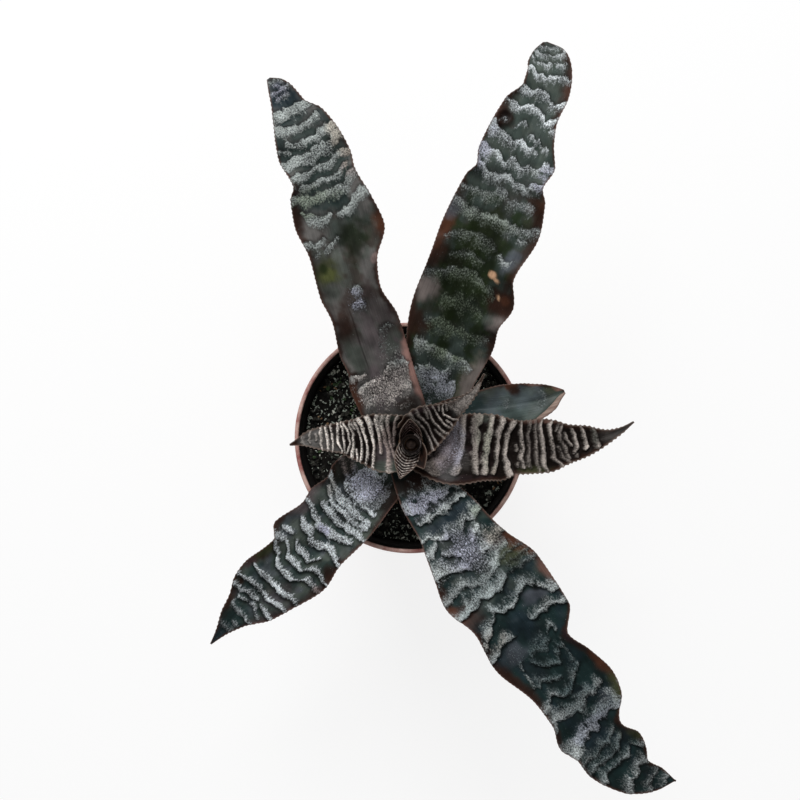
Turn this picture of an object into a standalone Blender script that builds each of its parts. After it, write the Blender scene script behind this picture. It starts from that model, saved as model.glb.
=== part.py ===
"""Earth star bromeliad (Cryptanthus) in a round nursery pot.

A flat star of eight wavy, strap-shaped leaves on a short stem, with a tight heart of young
leaves in its middle. The stem stands in a hole in the potting soil, which fills a thin-walled
plastic pot with a rolled rim, a drainage channel and drain holes.

Lengths are in millimetres until a mesh is finished, and +Z is up. The origin is the centre of
the pot's underside. Heights of the plant are measured from the pot's rim.
"""

import bisect
import math
from dataclasses import dataclass

import bmesh
import bpy
from mathutils import Matrix, Vector

MM = 0.001

# Pot: a 10.5 cm round nursery pot.
RIM_RADIUS = 52.5
POT_HEIGHT = 85.0
FOOT_RADIUS = 36.8
WALL = 1.4
COLLAR_HEIGHT = 9.0
FLOOR = 3.4
CHANNEL_INNER = 21.0
CHANNEL_OUTER = 30.5
CHANNEL_DEPTH = 1.6
DRAIN_HOLES = 6
DRAIN_RADIUS = 4.0
FOOT_NOTCHES = 4
FOOT_NOTCH_WIDTH = 5.0
ROUND_STEPS = 40
STEM_STEPS = 20

# Soil and stem.
CLEAR = 0.3
SOIL_BELOW_RIM = 10.0
SOIL_LUMP = 0.9
STEM_RADIUS = 5.5
STEM_DEPTH = 24.0
STEM_TOP = 14.4
STEM_X, STEM_Y = 0.3, -2.0

# Leaves.
BLADE = 1.15
TIP_HALF_WIDTH = 0.4
TOOTH = 0.5
ROOT_RADIUS = STEM_RADIUS + 0.8
YOUNG_ROOT_RADIUS = STEM_RADIUS + 1.1
NEST_RISE = 9.0
NEST_REACH = 11.0
NEST_SLOPE = 0.3
NEST_END = 14.0
FREE_START = 38.0
CLASP_RADIUS = 9.0
WIDE_COLUMNS = (-1.0, -0.74, -0.4, 0.0, 0.4, 0.74, 1.0)
NARROW_COLUMNS = (-1.0, -0.6, 0.0, 0.6, 1.0)

# Heart of rolled young leaves, on a short core. The scales are the small leaves round the roll.
HEART_FOOT = STEM_TOP + CLEAR
SCALE_ROOT_RADIUS = 4.2
SCALE_ROOT = HEART_FOOT + 4.4
ROLL_INNER = 1.1
ROLL_PITCH = 1.25
ROLL_TURNS = 2.75
ROLL_WALL = 0.62
ROLL_HEIGHT = 9.5
CORE_RADIUS = 5.0
CORE_HEIGHT = 2.4


@dataclass
class Leaf:
    """One leaf. Lengths run along the ground plan of its midrib, from the stem's axis."""

    name: str
    root: float  # height where the blade leaves the stem
    midrib: list  # (x, y, height) from the stem's axis
    left: list  # (along, half-width, lift of the margin)
    right: list
    trough: float = 0.1  # rise of a margin over the midrib, as a share of the half-width
    crests: tuple = ()  # where the cross ribs of a young leaf stand
    rib: float = 0.0  # height of a rib
    step: float = 5.0  # distance between cross rows where there are no ribs
    columns: tuple = WIDE_COLUMNS
    start: float = ROOT_RADIUS


def evenly(first, last, count):
    return tuple(first + (last - first) * i / (count - 1) for i in range(count))


LEAVES = [
    Leaf(
        "leaf_1_upper_right",
        root=-5.0,
        midrib=[
            (13.0, 26.4, 12), (18.3, 51.6, 23), (25.8, 71.1, 31), (32.8, 89.5, 35), (41.3, 114.2, 36),
            (49.2, 133.8, 34), (57.0, 153.9, 29), (59.6, 165.3, 25), (58.9, 176.6, 20),
        ],
        left=[
            (ROOT_RADIUS, 12, 0), (30, 14.1, 0), (46, 18.5, 0.3), (66, 20.4, -1.6), (79, 20.2, 1.8),
            (92, 20.6, -1.8), (117, 17.3, 0.6), (122, 14.4, 3.4), (130, 16.3, -1.4), (154, 13.8, -0.6),
            (164, 8.6, 3.0), (177, 8.6, -0.8), (183, 6, 0.5), (188, TIP_HALF_WIDTH, 0),
        ],
        right=[
            (ROOT_RADIUS, 12, 0), (30, 13.9, 0), (51, 19.6, -0.8), (60, 18.9, 2.2), (71, 21.5, -1.6),
            (82, 16.6, 3.6), (102, 20.8, -2), (116, 18.4, 0.8), (122, 15.1, 3.2), (132, 17.2, -1.4),
            (142, 12.8, 1.4), (153, 10.3, 3.2), (165, 11.7, -1.2), (177, 9.9, -0.6), (183, 7.5, 0),
            (188, TIP_HALF_WIDTH, 0),
        ],
    ),
    Leaf(
        "leaf_2_lower_left",
        root=-2.4,
        midrib=[
            (-19.1, -16.7, 11), (-32.1, -31.7, 18), (-45.6, -45.9, 22), (-59.6, -60.4, 22),
            (-75.4, -73.3, 18), (-89.3, -89.6, 11),
        ],
        left=[
            (ROOT_RADIUS, 12, 0), (25, 15.5, 0), (42, 16.4, -0.8), (59, 15.3, 1.8), (72, 17.6, -1.6),
            (88, 13.2, 1.8), (98, 11.7, -0.8), (105, 8.4, 1.4), (112, 5.3, 0), (119, 2.4, 0),
            (126.5, TIP_HALF_WIDTH, 0),
        ],
        right=[
            (ROOT_RADIUS, 12, 0), (25, 15.8, 0), (30, 16.3, -0.6), (35, 14.5, 2.4), (44, 16.7, -1.2),
            (51, 15.3, 2.4), (66, 18.2, -1.6), (71, 13.2, 3.2), (88, 15.2, -1.4), (96, 13.4, 1.6),
            (105, 7.6, -0.4), (112, 5.3, 0), (119, 2.4, 0), (126.5, TIP_HALF_WIDTH, 0),
        ],
    ),
    Leaf(
        "leaf_3_smooth",
        root=0.2,
        midrib=[(21.4, 14.0, 12), (40.1, 16.4, 18), (53.8, 18.7, 21), (67.2, 23.0, 22)],
        left=[
            (ROOT_RADIUS, 9, 0), (26, 6.6, 0), (32, 7.4, 0), (45, 9.3, 0), (54, 8.6, 0.8),
            (60, 7.4, -0.5), (65, 5.6, 0.5), (68, 4.0, 0), (72.8, TIP_HALF_WIDTH, 0),
        ],
        right=[
            (ROOT_RADIUS, 9, 0), (26, 8.6, 0), (45, 9.7, -0.6), (54, 9.0, 0.4), (60, 7.7, 2.6),
            (66, 5.3, 3.2), (69.5, 2.6, 1.6), (72.8, TIP_HALF_WIDTH, 0),
        ],
        trough=0.16,
        columns=NARROW_COLUMNS,
    ),
    Leaf(
        "leaf_4_lower_right",
        root=2.8,
        midrib=[
            (7.2, -22.4, 13), (17.5, -36.4, 20), (30.3, -53.5, 28), (46.8, -75.8, 32),
            (63.3, -98.3, 31), (79.5, -123.3, 26), (90.6, -137.0, 22), (100.5, -145.1, 18),
            (118.1, -150.4, 12),
        ],
        left=[
            (ROOT_RADIUS, 12, 0), (23, 13.3, 0), (39, 15.6, -0.6), (48, 16.4, 1.8), (56, 18.0, 0.4),
            (72, 22.9, -2.0), (96, 21.4, 0.6), (106, 13.1, 4.0), (117, 16.8, 0.5), (131, 20.2, -2.0),
            (139, 18.8, 0.6), (152, 10.6, 3.6), (164, 14.0, -1.4), (173, 11.0, 1.0), (180, 6.6, 1.4),
            (188, 4.6, 0), (195.8, TIP_HALF_WIDTH, 0),
        ],
        right=[
            (ROOT_RADIUS, 12, 0), (23, 12.6, 0), (32, 13.4, 0), (53, 18.8, 1.2), (68, 22.8, -1.8),
            (83, 18.7, 2.6), (100, 21.1, -2.0), (123, 15.3, 1.2), (136, 14.2, 2.8), (147, 17.2, -1.4),
            (155, 13.8, 2.6), (162, 14.6, -0.6), (170, 12.6, 0.8), (180, 9.4, -0.6), (189, 5.4, 0),
            (195.8, TIP_HALF_WIDTH, 0),
        ],
    ),
    Leaf(
        "leaf_5_upper_left",
        root=5.4,
        midrib=[
            (-8.8, 18.4, 16), (-16.6, 42.3, 27), (-23.2, 61.3, 35), (-28.2, 79.6, 40),
            (-33.9, 102.9, 43), (-42.5, 126.5, 41), (-52.7, 144.5, 36), (-61.7, 157.7, 31),
        ],
        left=[
            (ROOT_RADIUS, 12, 0), (21, 14.2, 0), (31, 15.0, -0.6), (37, 13.6, 1.6), (46, 14.6, -0.8),
            (61, 12.6, 2.0), (72, 14.5, -0.8), (86, 14.2, 1.2), (102, 17.5, -1.8), (114, 16.0, 0.8),
            (119, 12.9, 3.4), (133, 14.8, -1.4), (142, 12.7, 1.6), (151, 9.2, -0.4), (160, 5.1, 0.9),
            (166, 2.8, 0), (171, TIP_HALF_WIDTH, 0),
        ],
        right=[
            (ROOT_RADIUS, 12, 0), (21, 14.2, 0), (40, 14.4, -0.8), (54, 14.6, 0.6), (69, 11.2, 2.6),
            (80, 12.8, 0.8), (95, 19.5, -2.0), (106, 16.9, 1.0), (119, 13.6, 2.6), (126, 14.6, -1.0),
            (134, 13.7, 1.4), (146, 11.8, -0.6), (153, 7.2, 1.6), (160, 6.7, -0.5), (166, 5.0, 0.4),
            (171, TIP_HALF_WIDTH, 0),
        ],
    ),
    Leaf(
        "leaf_6_right",
        root=8.0,
        midrib=[
            (19.7, -3.5, 20), (37.5, -1.4, 29), (55.4, -0.7, 35), (67.8, 1.1, 38), (80.9, 3.2, 39),
            (88.1, 5.8, 40), (94.0, 10.0, 42),
        ],
        left=[
            (ROOT_RADIUS, 12, 0), (20, 15.0, 0), (27, 16.0, -0.6), (36, 14.6, 0.6), (48, 11.2, 1.6),
            (57, 11.7, -0.8), (63, 10.3, 0.6), (69, 7.4, 1.0), (76, 6.0, -0.3), (81, 3.9, 0.4),
            (86, 2.1, 0), (92, 1.0, 0), (96.4, TIP_HALF_WIDTH, 0),
        ],
        right=[
            (ROOT_RADIUS, 12, 0), (20, 14.2, 0), (29, 13.4, 0.6), (38, 14.1, -0.8), (46, 11.3, 1.6),
            (58, 11.1, -0.8), (66, 8.6, 0.8), (72, 7.4, 0), (79, 5.0, 0), (84, 2.9, 0), (89, 1.4, 0),
            (96.4, TIP_HALF_WIDTH, 0),
        ],
        trough=0.05,
        crests=(
            18.5, 23, 27.2, 32, 37.3, 42.2, 46.2, 49.2, 52.3, 55.4, 58.6, 62.4, 65.8, 69.6, 73, 77.8, 82.6,
        ),
        rib=0.55,
        columns=NARROW_COLUMNS,
        start=YOUNG_ROOT_RADIUS,
    ),
    Leaf(
        "leaf_7_left",
        root=10.6,
        midrib=[(-9.2, 0.1, 18), (-19.2, 1.9, 27), (-30.7, 3.0, 32), (-42.7, 2.6, 33), (-52.5, -0.1, 30)],
        left=[
            (ROOT_RADIUS, 12.6, 0), (9.3, 13.1, 0), (17, 11.6, 0), (23, 9.3, 0.4), (27, 8.0, -0.3),
            (30, 6.5, 0.4), (34, 5.8, 0), (40, 4.5, 0), (45, 3.0, 0), (49, 1.6, 0),
            (53.2, TIP_HALF_WIDTH, 0),
        ],
        right=[
            (ROOT_RADIUS, 12.6, 0), (9.3, 13.2, 0), (17, 11.7, 0), (23, 9.7, -0.3), (27, 7.6, 0.5),
            (34, 5.9, 0), (40, 4.5, 0), (45, 3.1, 0), (49, 1.6, 0), (53.2, TIP_HALF_WIDTH, 0),
        ],
        trough=0.05,
        crests=evenly(8.0, 27.0, 9) + evenly(29.4, 46.0, 8),
        rib=0.45,
        columns=NARROW_COLUMNS,
        start=YOUNG_ROOT_RADIUS,
    ),
    Leaf(
        "leaf_8_young",
        root=13.2,
        midrib=[(6.6, 7.1, 21), (14.1, 12.0, 31), (21.5, 17.6, 40), (26.6, 23.1, 46), (30.2, 30.0, 51)],
        left=[
            (ROOT_RADIUS, 10.8, 0), (9.8, 10.1, 0), (17, 7.1, 0.3), (21, 5.2, -0.2), (25.4, 3.4, 0.3),
            (30, 2.3, 0), (34.4, 1.3, 0), (39, 0.7, 0), (43.3, TIP_HALF_WIDTH, 0),
        ],
        right=[
            (ROOT_RADIUS, 10.8, 0), (9.8, 10.1, 0), (17, 7.4, -0.2), (21, 5.4, 0.3), (25.4, 3.4, 0),
            (30, 2.3, 0), (34.4, 1.4, 0), (39, 0.7, 0), (43.3, TIP_HALF_WIDTH, 0),
        ],
        trough=0.1,
        crests=evenly(8.0, 27.5, 9),
        rib=0.4,
        columns=NARROW_COLUMNS,
        start=YOUNG_ROOT_RADIUS,
    ),
]


def scale_leaf(name, azimuth, length, half_width):
    """One of the small leaves that stand round the heart's roll, pointing along azimuth, in degrees."""
    ahead = Vector((math.cos(math.radians(azimuth)), math.sin(math.radians(azimuth)))) * length
    middle = 0.55
    margin = [
        (SCALE_ROOT_RADIUS, half_width, 0), (middle * length, half_width * 0.85, 0),
        (length, TIP_HALF_WIDTH, 0),
    ]
    return Leaf(
        name,
        root=SCALE_ROOT,
        midrib=[(*ahead * middle, HEART_FOOT + 7.8), (*ahead, HEART_FOOT + 12.3)],
        left=margin,
        right=margin,
        step=2.6,
        columns=NARROW_COLUMNS,
        start=SCALE_ROOT_RADIUS,
    )


HEART_SCALES = [
    scale_leaf("scale_lower", -109.0, 15.0, 6.2),
    scale_leaf("scale_lower_right", -55.0, 12.5, 5.6),
    scale_leaf("scale_upper", 98.0, 13.0, 5.6),
]


# --- shapes by formula ---------------------------------------------------------------------


def smooth_value(points, x):
    """Value at x of a smooth curve through (x, value) points. It is level at its highs and lows."""
    xs = [p[0] for p in points]
    if x <= xs[0]:
        return points[0][1]
    if x >= xs[-1]:
        return points[-1][1]
    i = bisect.bisect_right(xs, x) - 1
    gaps = [b - a for a, b in zip(xs, xs[1:])]
    rises = [(q[1] - p[1]) / gap for p, q, gap in zip(points, points[1:], gaps)]

    def slope(k):
        if k in (0, len(points) - 1):
            return rises[min(k, len(rises) - 1)]
        before, after = rises[k - 1], rises[k]
        return 0.0 if before * after <= 0 else 2 * before * after / (before + after)

    t = (x - xs[i]) / gaps[i]
    start, end = points[i][1], points[i + 1][1]
    return (
        start * (1 + 2 * t) * (1 - t) ** 2
        + end * t * t * (3 - 2 * t)
        + gaps[i] * (slope(i) * t * (1 - t) ** 2 - slope(i + 1) * t * t * (1 - t))
    )


def ease(x, low, high):
    """0 below low, 1 above high, and a smooth step between."""
    t = min(1.0, max(0.0, (x - low) / (high - low)))
    return t * t * (3 - 2 * t)


def nest_height(radius):
    """Rise over its root of the bowl that all leaf bases share, so that they nest an even gap apart."""
    out = radius - ROOT_RADIUS
    return NEST_SLOPE * out + NEST_RISE * (1 - math.exp(-out / NEST_REACH))


def midrib_tracks(leaf):
    """The midrib's x, y and height, each as (along, value) points."""
    knots = [(0.0, 0.0, leaf.root), *leaf.midrib]
    along = [0.0]
    for a, b in zip(knots, knots[1:]):
        along.append(along[-1] + math.hypot(b[0] - a[0], b[1] - a[1]))
    return [[(s, knot[i]) for s, knot in zip(along, knots)] for i in range(3)]


def rib_wave(leaf, along):
    """The cross ribs: 1 on a crest and -1 halfway between two, fading at the ends."""
    first, last = leaf.crests[0], leaf.crests[-1]
    number = smooth_value([(crest, float(i)) for i, crest in enumerate(leaf.crests)], along)
    fade = ease(along, first - 3, first) * (1 - ease(along, last, last + 3))
    return math.cos(2 * math.pi * number) * fade


def leaf_point(leaf, tracks, along, across, tooth=0.0):
    """A point of the blade's upper face. across runs from -1 at the right margin to 1 at the left."""
    x, y, high = (smooth_value(track, along) for track in tracks)
    ahead = [smooth_value(track, along + 0.5) - smooth_value(track, along - 0.5) for track in tracks[:2]]
    run = Vector(ahead).normalized()
    side = Vector((-run.y, run.x))
    margin = leaf.left if across >= 0 else leaf.right
    half = smooth_value([(s, w) for s, w, _ in margin], along) + tooth
    lift = smooth_value([(s, h) for s, _, h in margin], along)
    clasp = along * (1 + (along / CLASP_RADIUS) ** 2.5)
    turn = across * half / clasp
    plan = Vector((x, y)) + run * clasp * (math.cos(turn) - 1) + side * clasp * math.sin(turn)
    nested = leaf.root + nest_height(plan.length)
    free = high + leaf.trough * half * abs(across) ** 1.6
    height = nested + (free - nested) * ease(along, NEST_END, FREE_START)
    height += lift * abs(across) ** 2.2
    if leaf.crests:
        height += leaf.rib * rib_wave(leaf, along) * (1 - 0.4 * across * across)
    return Vector((plan.x + STEM_X, plan.y + STEM_Y, height + POT_HEIGHT))


def leaf_rows(leaf, tracks):
    """Distances along the leaf of its cross rows: on and between the ribs, or evenly spaced."""
    end = tracks[0][-1][0]
    if not leaf.crests:
        count = round((end - leaf.start) / leaf.step)
        return list(evenly(leaf.start, end, count + 1))
    between = [(a + b) / 2 for a, b in zip(leaf.crests, leaf.crests[1:])]
    ribbed = sorted([*leaf.crests, *between])
    root = list(evenly(leaf.start, ribbed[0], max(2, round((ribbed[0] - leaf.start) / 4) + 1)))[:-1]
    tip = list(evenly(ribbed[-1], end, max(3, round((end - ribbed[-1]) / 4) + 1)))[1:]
    return root + ribbed + tip


# --- building blocks -----------------------------------------------------------------------


def clear_scene():
    for obj in list(bpy.data.objects):
        bpy.data.objects.remove(obj)


def material(name, colour, roughness, metallic=0.0):
    made = bpy.data.materials.new(name)
    made.use_nodes = True
    shader = made.node_tree.nodes["Principled BSDF"]
    shader.inputs["Base Color"].default_value = (*colour, 1.0)
    shader.inputs["Roughness"].default_value = roughness
    shader.inputs["Metallic"].default_value = metallic
    made.diffuse_color = (*colour, 1.0)
    return made


def finish(bm, name, skin, smooth_angle=None):
    """Turns a bmesh in millimetres into an object in metres."""
    bmesh.ops.recalc_face_normals(bm, faces=bm.faces)
    bmesh.ops.scale(bm, vec=(MM, MM, MM), verts=bm.verts)
    mesh = bpy.data.meshes.new(name)
    bm.to_mesh(mesh)
    bm.free()
    if smooth_angle:
        mesh.shade_smooth()
        mesh.set_sharp_from_angle(angle=math.radians(smooth_angle))
    obj = bpy.data.objects.new(name, mesh)
    bpy.context.scene.collection.objects.link(obj)
    if skin:
        mesh.materials.append(skin)
    return obj


def turned(profile, steps=ROUND_STEPS, centre=(0.0, 0.0)):
    """A solid of revolution. profile is a run of (radius, height) that starts and ends on the axis."""
    bm = bmesh.new()
    verts = [bm.verts.new((radius + centre[0], centre[1], height)) for radius, height in profile]
    edges = [bm.edges.new(pair) for pair in zip(verts, verts[1:])]
    bmesh.ops.spin(
        bm, geom=verts + edges, cent=(*centre, 0), axis=(0, 0, 1), dvec=(0, 0, 0),
        angle=2 * math.pi, steps=steps, use_merge=True, use_duplicate=False,
    )
    bmesh.ops.remove_doubles(bm, verts=bm.verts, dist=1e-4)
    return bm


def boolean(obj, others, operation):
    """Cuts others from obj, or joins them to it, and removes them."""
    group = bpy.data.collections.new(obj.name + "_tools")
    bpy.context.scene.collection.children.link(group)
    for other in others:
        group.objects.link(other)
        bpy.context.scene.collection.objects.unlink(other)
    modifier = obj.modifiers.new("boolean", "BOOLEAN")
    modifier.operation = operation
    modifier.operand_type = "COLLECTION"
    modifier.collection = group
    modifier.solver = "EXACT"
    graph = bpy.context.evaluated_depsgraph_get()
    result = bpy.data.meshes.new_from_object(obj.evaluated_get(graph))
    obj.modifiers.clear()
    obj.data = result
    for other in others:
        bpy.data.objects.remove(other)
    bpy.data.collections.remove(group)
    return obj


# --- pieces --------------------------------------------------------------------------------


def wall_radius(height):
    """Radius of the pot's outside below its collar."""
    top = POT_HEIGHT - COLLAR_HEIGHT
    return FOOT_RADIUS + (RIM_RADIUS - 2.4 - FOOT_RADIUS) * height / top


def build_pot(skin):
    collar = POT_HEIGHT - COLLAR_HEIGHT
    inner_rim = RIM_RADIUS - 1.9
    profile = [
        (0, 0), (CHANNEL_INNER, 0), (CHANNEL_INNER + 0.8, CHANNEL_DEPTH), (CHANNEL_OUTER - 0.8, CHANNEL_DEPTH),
        (CHANNEL_OUTER, 0), (FOOT_RADIUS - 0.8, 0), (FOOT_RADIUS, 1.0), (wall_radius(collar - 1), collar - 1),
        (RIM_RADIUS - 0.9, collar), (RIM_RADIUS, POT_HEIGHT - 1.0), (RIM_RADIUS - 0.6, POT_HEIGHT),
        (inner_rim + 0.4, POT_HEIGHT), (inner_rim, POT_HEIGHT - 0.8), (inner_rim - 0.3, collar + 0.6),
        (wall_radius(collar - 1) - WALL, collar - 1.4), (wall_radius(FLOOR) - WALL, FLOOR), (0, FLOOR),
    ]
    pot = finish(turned(profile), "pot", skin, smooth_angle=32)
    cutters = []
    for i in range(DRAIN_HOLES):
        turn = 2 * math.pi * (i + 0.5) / DRAIN_HOLES
        middle = (CHANNEL_INNER + CHANNEL_OUTER) / 2
        bm = bmesh.new()
        bmesh.ops.create_cone(
            bm, cap_ends=True, segments=12, radius1=DRAIN_RADIUS, radius2=DRAIN_RADIUS, depth=4 * FLOOR
        )
        bmesh.ops.translate(bm, verts=bm.verts, vec=(middle * math.cos(turn), middle * math.sin(turn), FLOOR))
        cutters.append(finish(bm, f"drain_{i}", None))
    for i in range(FOOT_NOTCHES):
        turn = 2 * math.pi * (i + 0.5) / FOOT_NOTCHES
        middle = (CHANNEL_OUTER + FOOT_RADIUS) / 2
        bm = bmesh.new()
        bmesh.ops.create_cube(bm, size=1.0)
        box = (2 * (FOOT_RADIUS - CHANNEL_OUTER), FOOT_NOTCH_WIDTH, 2 * CHANNEL_DEPTH)
        bmesh.ops.scale(bm, vec=box, verts=bm.verts)
        bmesh.ops.translate(bm, verts=bm.verts, vec=(middle, 0, 0))
        bmesh.ops.rotate(bm, verts=bm.verts, cent=(0, 0, 0), matrix=Matrix.Rotation(turn, 3, "Z"))
        cutters.append(finish(bm, f"notch_{i}", None))
    return boolean(pot, cutters, "DIFFERENCE")


def soil_lump(x, y):
    """Unevenness of the soil's surface, from -1 to 1."""
    waves = ((0.31, 0.12, 0.4), (-0.17, 0.36, 1.9), (0.52, -0.41, 3.1), (0.09, 0.67, 5.0))
    return sum(math.sin(a * x + b * y + c) for a, b, c in waves) / len(waves)


def build_soil(skin):
    top = POT_HEIGHT - SOIL_BELOW_RIM
    floor = FLOOR + CLEAR
    hole = STEM_RADIUS + 2 * CLEAR
    hole_floor = top - STEM_DEPTH
    edge = wall_radius(top) - WALL - 1.0
    profile = [
        (0, floor), (wall_radius(floor) - WALL - CLEAR - 0.1, floor), (edge, top - 0.6), (41, top),
        (33, top), (25, top), (17, top), (11, top), (0, top),
    ]
    bm = turned(profile)
    for vert in bm.verts:
        if vert.co.z > top - 0.3:
            vert.co.z += SOIL_LUMP * soil_lump(vert.co.x, vert.co.y)
    soil = finish(bm, "soil", skin, smooth_angle=60)
    above = top + 9
    drill = turned(
        [(0, hole_floor), (hole, hole_floor), (hole, above), (0, above)], STEM_STEPS, (STEM_X, STEM_Y)
    )
    return boolean(soil, [finish(drill, "stem_hole", None)], "DIFFERENCE")


def build_stem(skin):
    foot = POT_HEIGHT - SOIL_BELOW_RIM - STEM_DEPTH + CLEAR
    top = POT_HEIGHT + STEM_TOP
    profile = [
        (0, foot), (STEM_RADIUS - 1.5, foot), (STEM_RADIUS, foot + 8), (STEM_RADIUS, top - 3),
        (STEM_RADIUS - 0.5, top), (0, top),
    ]
    return finish(turned(profile, STEM_STEPS, (STEM_X, STEM_Y)), "stem", skin, smooth_angle=50)


def build_leaf(leaf, skin):
    """A blade: a grid laid on the leaf's upper face, split into triangles and extruded downwards."""
    tracks = midrib_tracks(leaf)
    rows = leaf_rows(leaf, tracks)
    columns = leaf.columns
    bm = bmesh.new()
    bmesh.ops.create_grid(bm, x_segments=len(columns) - 1, y_segments=len(rows) - 1, size=0.5)
    for vert in bm.verts:
        column = round((vert.co.x + 0.5) * (len(columns) - 1))
        row = round((vert.co.y + 0.5) * (len(rows) - 1))
        toothed = abs(columns[column]) == 1.0 and row % 2 == 1 and 0 < row < len(rows) - 3
        vert.co = leaf_point(leaf, tracks, rows[row], columns[column], TOOTH if toothed else 0.0)
    bmesh.ops.triangulate(bm, faces=bm.faces, quad_method="SHORT_EDGE")
    grown = bmesh.ops.extrude_face_region(bm, geom=bm.faces)
    lower = [item for item in grown["geom"] if isinstance(item, bmesh.types.BMVert)]
    bmesh.ops.translate(bm, verts=lower, vec=(0, 0, -BLADE))
    return finish(bm, leaf.name, skin, smooth_angle=70)


def build_roll(skin):
    """The innermost leaves, rolled up like a cigar and cut off at a slant."""
    columns, rows = 40, 3
    bm = bmesh.new()
    bmesh.ops.create_grid(bm, x_segments=columns, y_segments=rows, size=0.5)
    foot = POT_HEIGHT + HEART_FOOT + CORE_HEIGHT / 2
    out = {}
    for vert in bm.verts:
        around, up = vert.co.x + 0.5, vert.co.y + 0.5
        turn = 2 * math.pi * ROLL_TURNS * around
        radius = ROLL_INNER + ROLL_PITCH * ROLL_TURNS * around
        height = ROLL_HEIGHT * (1 - 0.35 * around) + 0.6 * math.sin(turn)
        spread = 1 + 0.16 * up
        out[vert] = Vector((math.cos(turn), math.sin(turn), 0))
        place = out[vert] * radius * spread
        vert.co = place + Vector((STEM_X, STEM_Y, foot + height * up))
    bmesh.ops.triangulate(bm, faces=bm.faces, quad_method="SHORT_EDGE")
    outward = {tuple(round(c, 5) for c in vert.co): direction for vert, direction in out.items()}
    grown = bmesh.ops.extrude_face_region(bm, geom=bm.faces)
    for item in grown["geom"]:
        if isinstance(item, bmesh.types.BMVert):
            item.co -= outward[tuple(round(c, 5) for c in item.co)] * ROLL_WALL
    return finish(bm, "roll", skin)


def build_heart(skin):
    foot = POT_HEIGHT + HEART_FOOT
    top = foot + CORE_HEIGHT
    profile = [(0, foot), (CORE_RADIUS - 0.6, foot), (CORE_RADIUS, foot + 1), (CORE_RADIUS - 0.4, top), (0, top)]
    heart = finish(turned(profile, STEM_STEPS, (STEM_X, STEM_Y)), "heart", skin, smooth_angle=50)
    parts = [build_leaf(scale, skin) for scale in HEART_SCALES] + [build_roll(skin)]
    return boolean(heart, parts, "UNION")


def main():
    clear_scene()
    clay = material("clay_plastic", (0.42, 0.145, 0.095), 0.5)
    peat = material("peat", (0.012, 0.011, 0.009), 0.95)
    bark = material("stem_bark", (0.09, 0.05, 0.03), 0.8)
    green = material("banded_leaf", (0.10, 0.12, 0.105), 0.5)
    bronze = material("bronze_leaf", (0.11, 0.085, 0.065), 0.55)
    teal = material("plain_leaf", (0.065, 0.09, 0.088), 0.4)
    skins = {"leaf_3_smooth": teal, "leaf_6_right": bronze, "leaf_7_left": bronze, "leaf_8_young": bronze}
    build_pot(clay)
    build_soil(peat)
    build_stem(bark)
    for leaf in LEAVES:
        build_leaf(leaf, skins.get(leaf.name, green))
    build_heart(bronze)


if __name__ == "__main__":
    main()
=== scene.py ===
"""Earth star bromeliad (Cryptanthus) in a round nursery pot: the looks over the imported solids.

Lengths are in millimetres until a mesh is finished. The origin is the centre of the pot's
underside and +Z is up. Heights of the plant are measured from the pot's rim.
"""

import math
import random
from dataclasses import dataclass
from functools import partial

import bmesh
import bpy
import numpy as np
from mathutils import Matrix, Vector, noise


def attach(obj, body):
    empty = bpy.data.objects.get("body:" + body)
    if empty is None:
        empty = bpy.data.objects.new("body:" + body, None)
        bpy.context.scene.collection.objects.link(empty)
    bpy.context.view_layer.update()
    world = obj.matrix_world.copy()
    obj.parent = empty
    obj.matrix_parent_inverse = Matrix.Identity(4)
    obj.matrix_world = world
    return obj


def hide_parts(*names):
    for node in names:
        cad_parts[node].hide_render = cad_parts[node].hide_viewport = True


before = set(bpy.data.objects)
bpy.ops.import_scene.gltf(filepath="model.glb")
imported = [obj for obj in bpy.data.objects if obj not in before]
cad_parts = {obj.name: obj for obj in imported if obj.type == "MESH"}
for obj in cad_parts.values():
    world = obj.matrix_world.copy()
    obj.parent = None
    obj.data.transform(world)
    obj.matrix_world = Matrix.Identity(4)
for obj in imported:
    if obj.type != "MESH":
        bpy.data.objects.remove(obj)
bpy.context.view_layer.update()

MM = 0.001

# Pot, soil and stem, as in the part.
RIM_RADIUS = 52.5
RIM_WALL = 1.9
POT_HEIGHT = 85.0
FOOT_RADIUS = 36.8
WALL = 1.4
COLLAR = POT_HEIGHT - 9.0  # height of the collar's lower edge
COLLAR_OVERHANG = 2.4
LIP = 0.8  # rounding of the rim's two edges
FLOOR = 3.4
CHANNEL_INNER = 21.0
CHANNEL_OUTER = 30.5
CHANNEL_DEPTH = 1.6
CHANNEL_SLOPE = 0.8  # how far the channel's sides lean in
BEVEL = 0.3  # of the edges that the pot stands on
DRAIN_HOLES = 6
DRAIN_RADIUS = 4.0
FOOT_NOTCHES = 4
FOOT_NOTCH_WIDTH = 5.0
SOIL_TOP = POT_HEIGHT - 10.0
SOIL_LUMP = 0.9
SCATTER_RADIUS = 49.0  # reach of the clusters of loose grains
STEM_RADIUS = 5.5
STEM_DEPTH = 24.0
STEM_TOP = 14.4
STEM_X, STEM_Y = 0.3, -2.0
STEM_SCARS = 26
CLEAR = 0.3

# Leaves, laid out as in the part.
BLADE = 1.1  # thickness in the middle
EDGE_BLADE = 0.35  # thickness at the margins
TIP_HALF_WIDTH = 0.4
TOOTH = 0.65  # length of the margin's spines
TOOTH_PITCH = 1.95
WAVINESS = 0.55  # height of the blade's broad, shallow waves
GROOVE = 0.25  # depth of the groove along the midrib
FAR_OUTSIDE = -8.0  # a distance outside every band
ROOT_RADIUS = STEM_RADIUS + 0.8
YOUNG_ROOT_RADIUS = STEM_RADIUS + 1.1
NEST_RISE = 9.0
NEST_REACH = 11.0
NEST_SLOPE = 0.3
NEST_END = 14.0
FREE_START = 38.0
CLASP_RADIUS = 9.0

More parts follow.
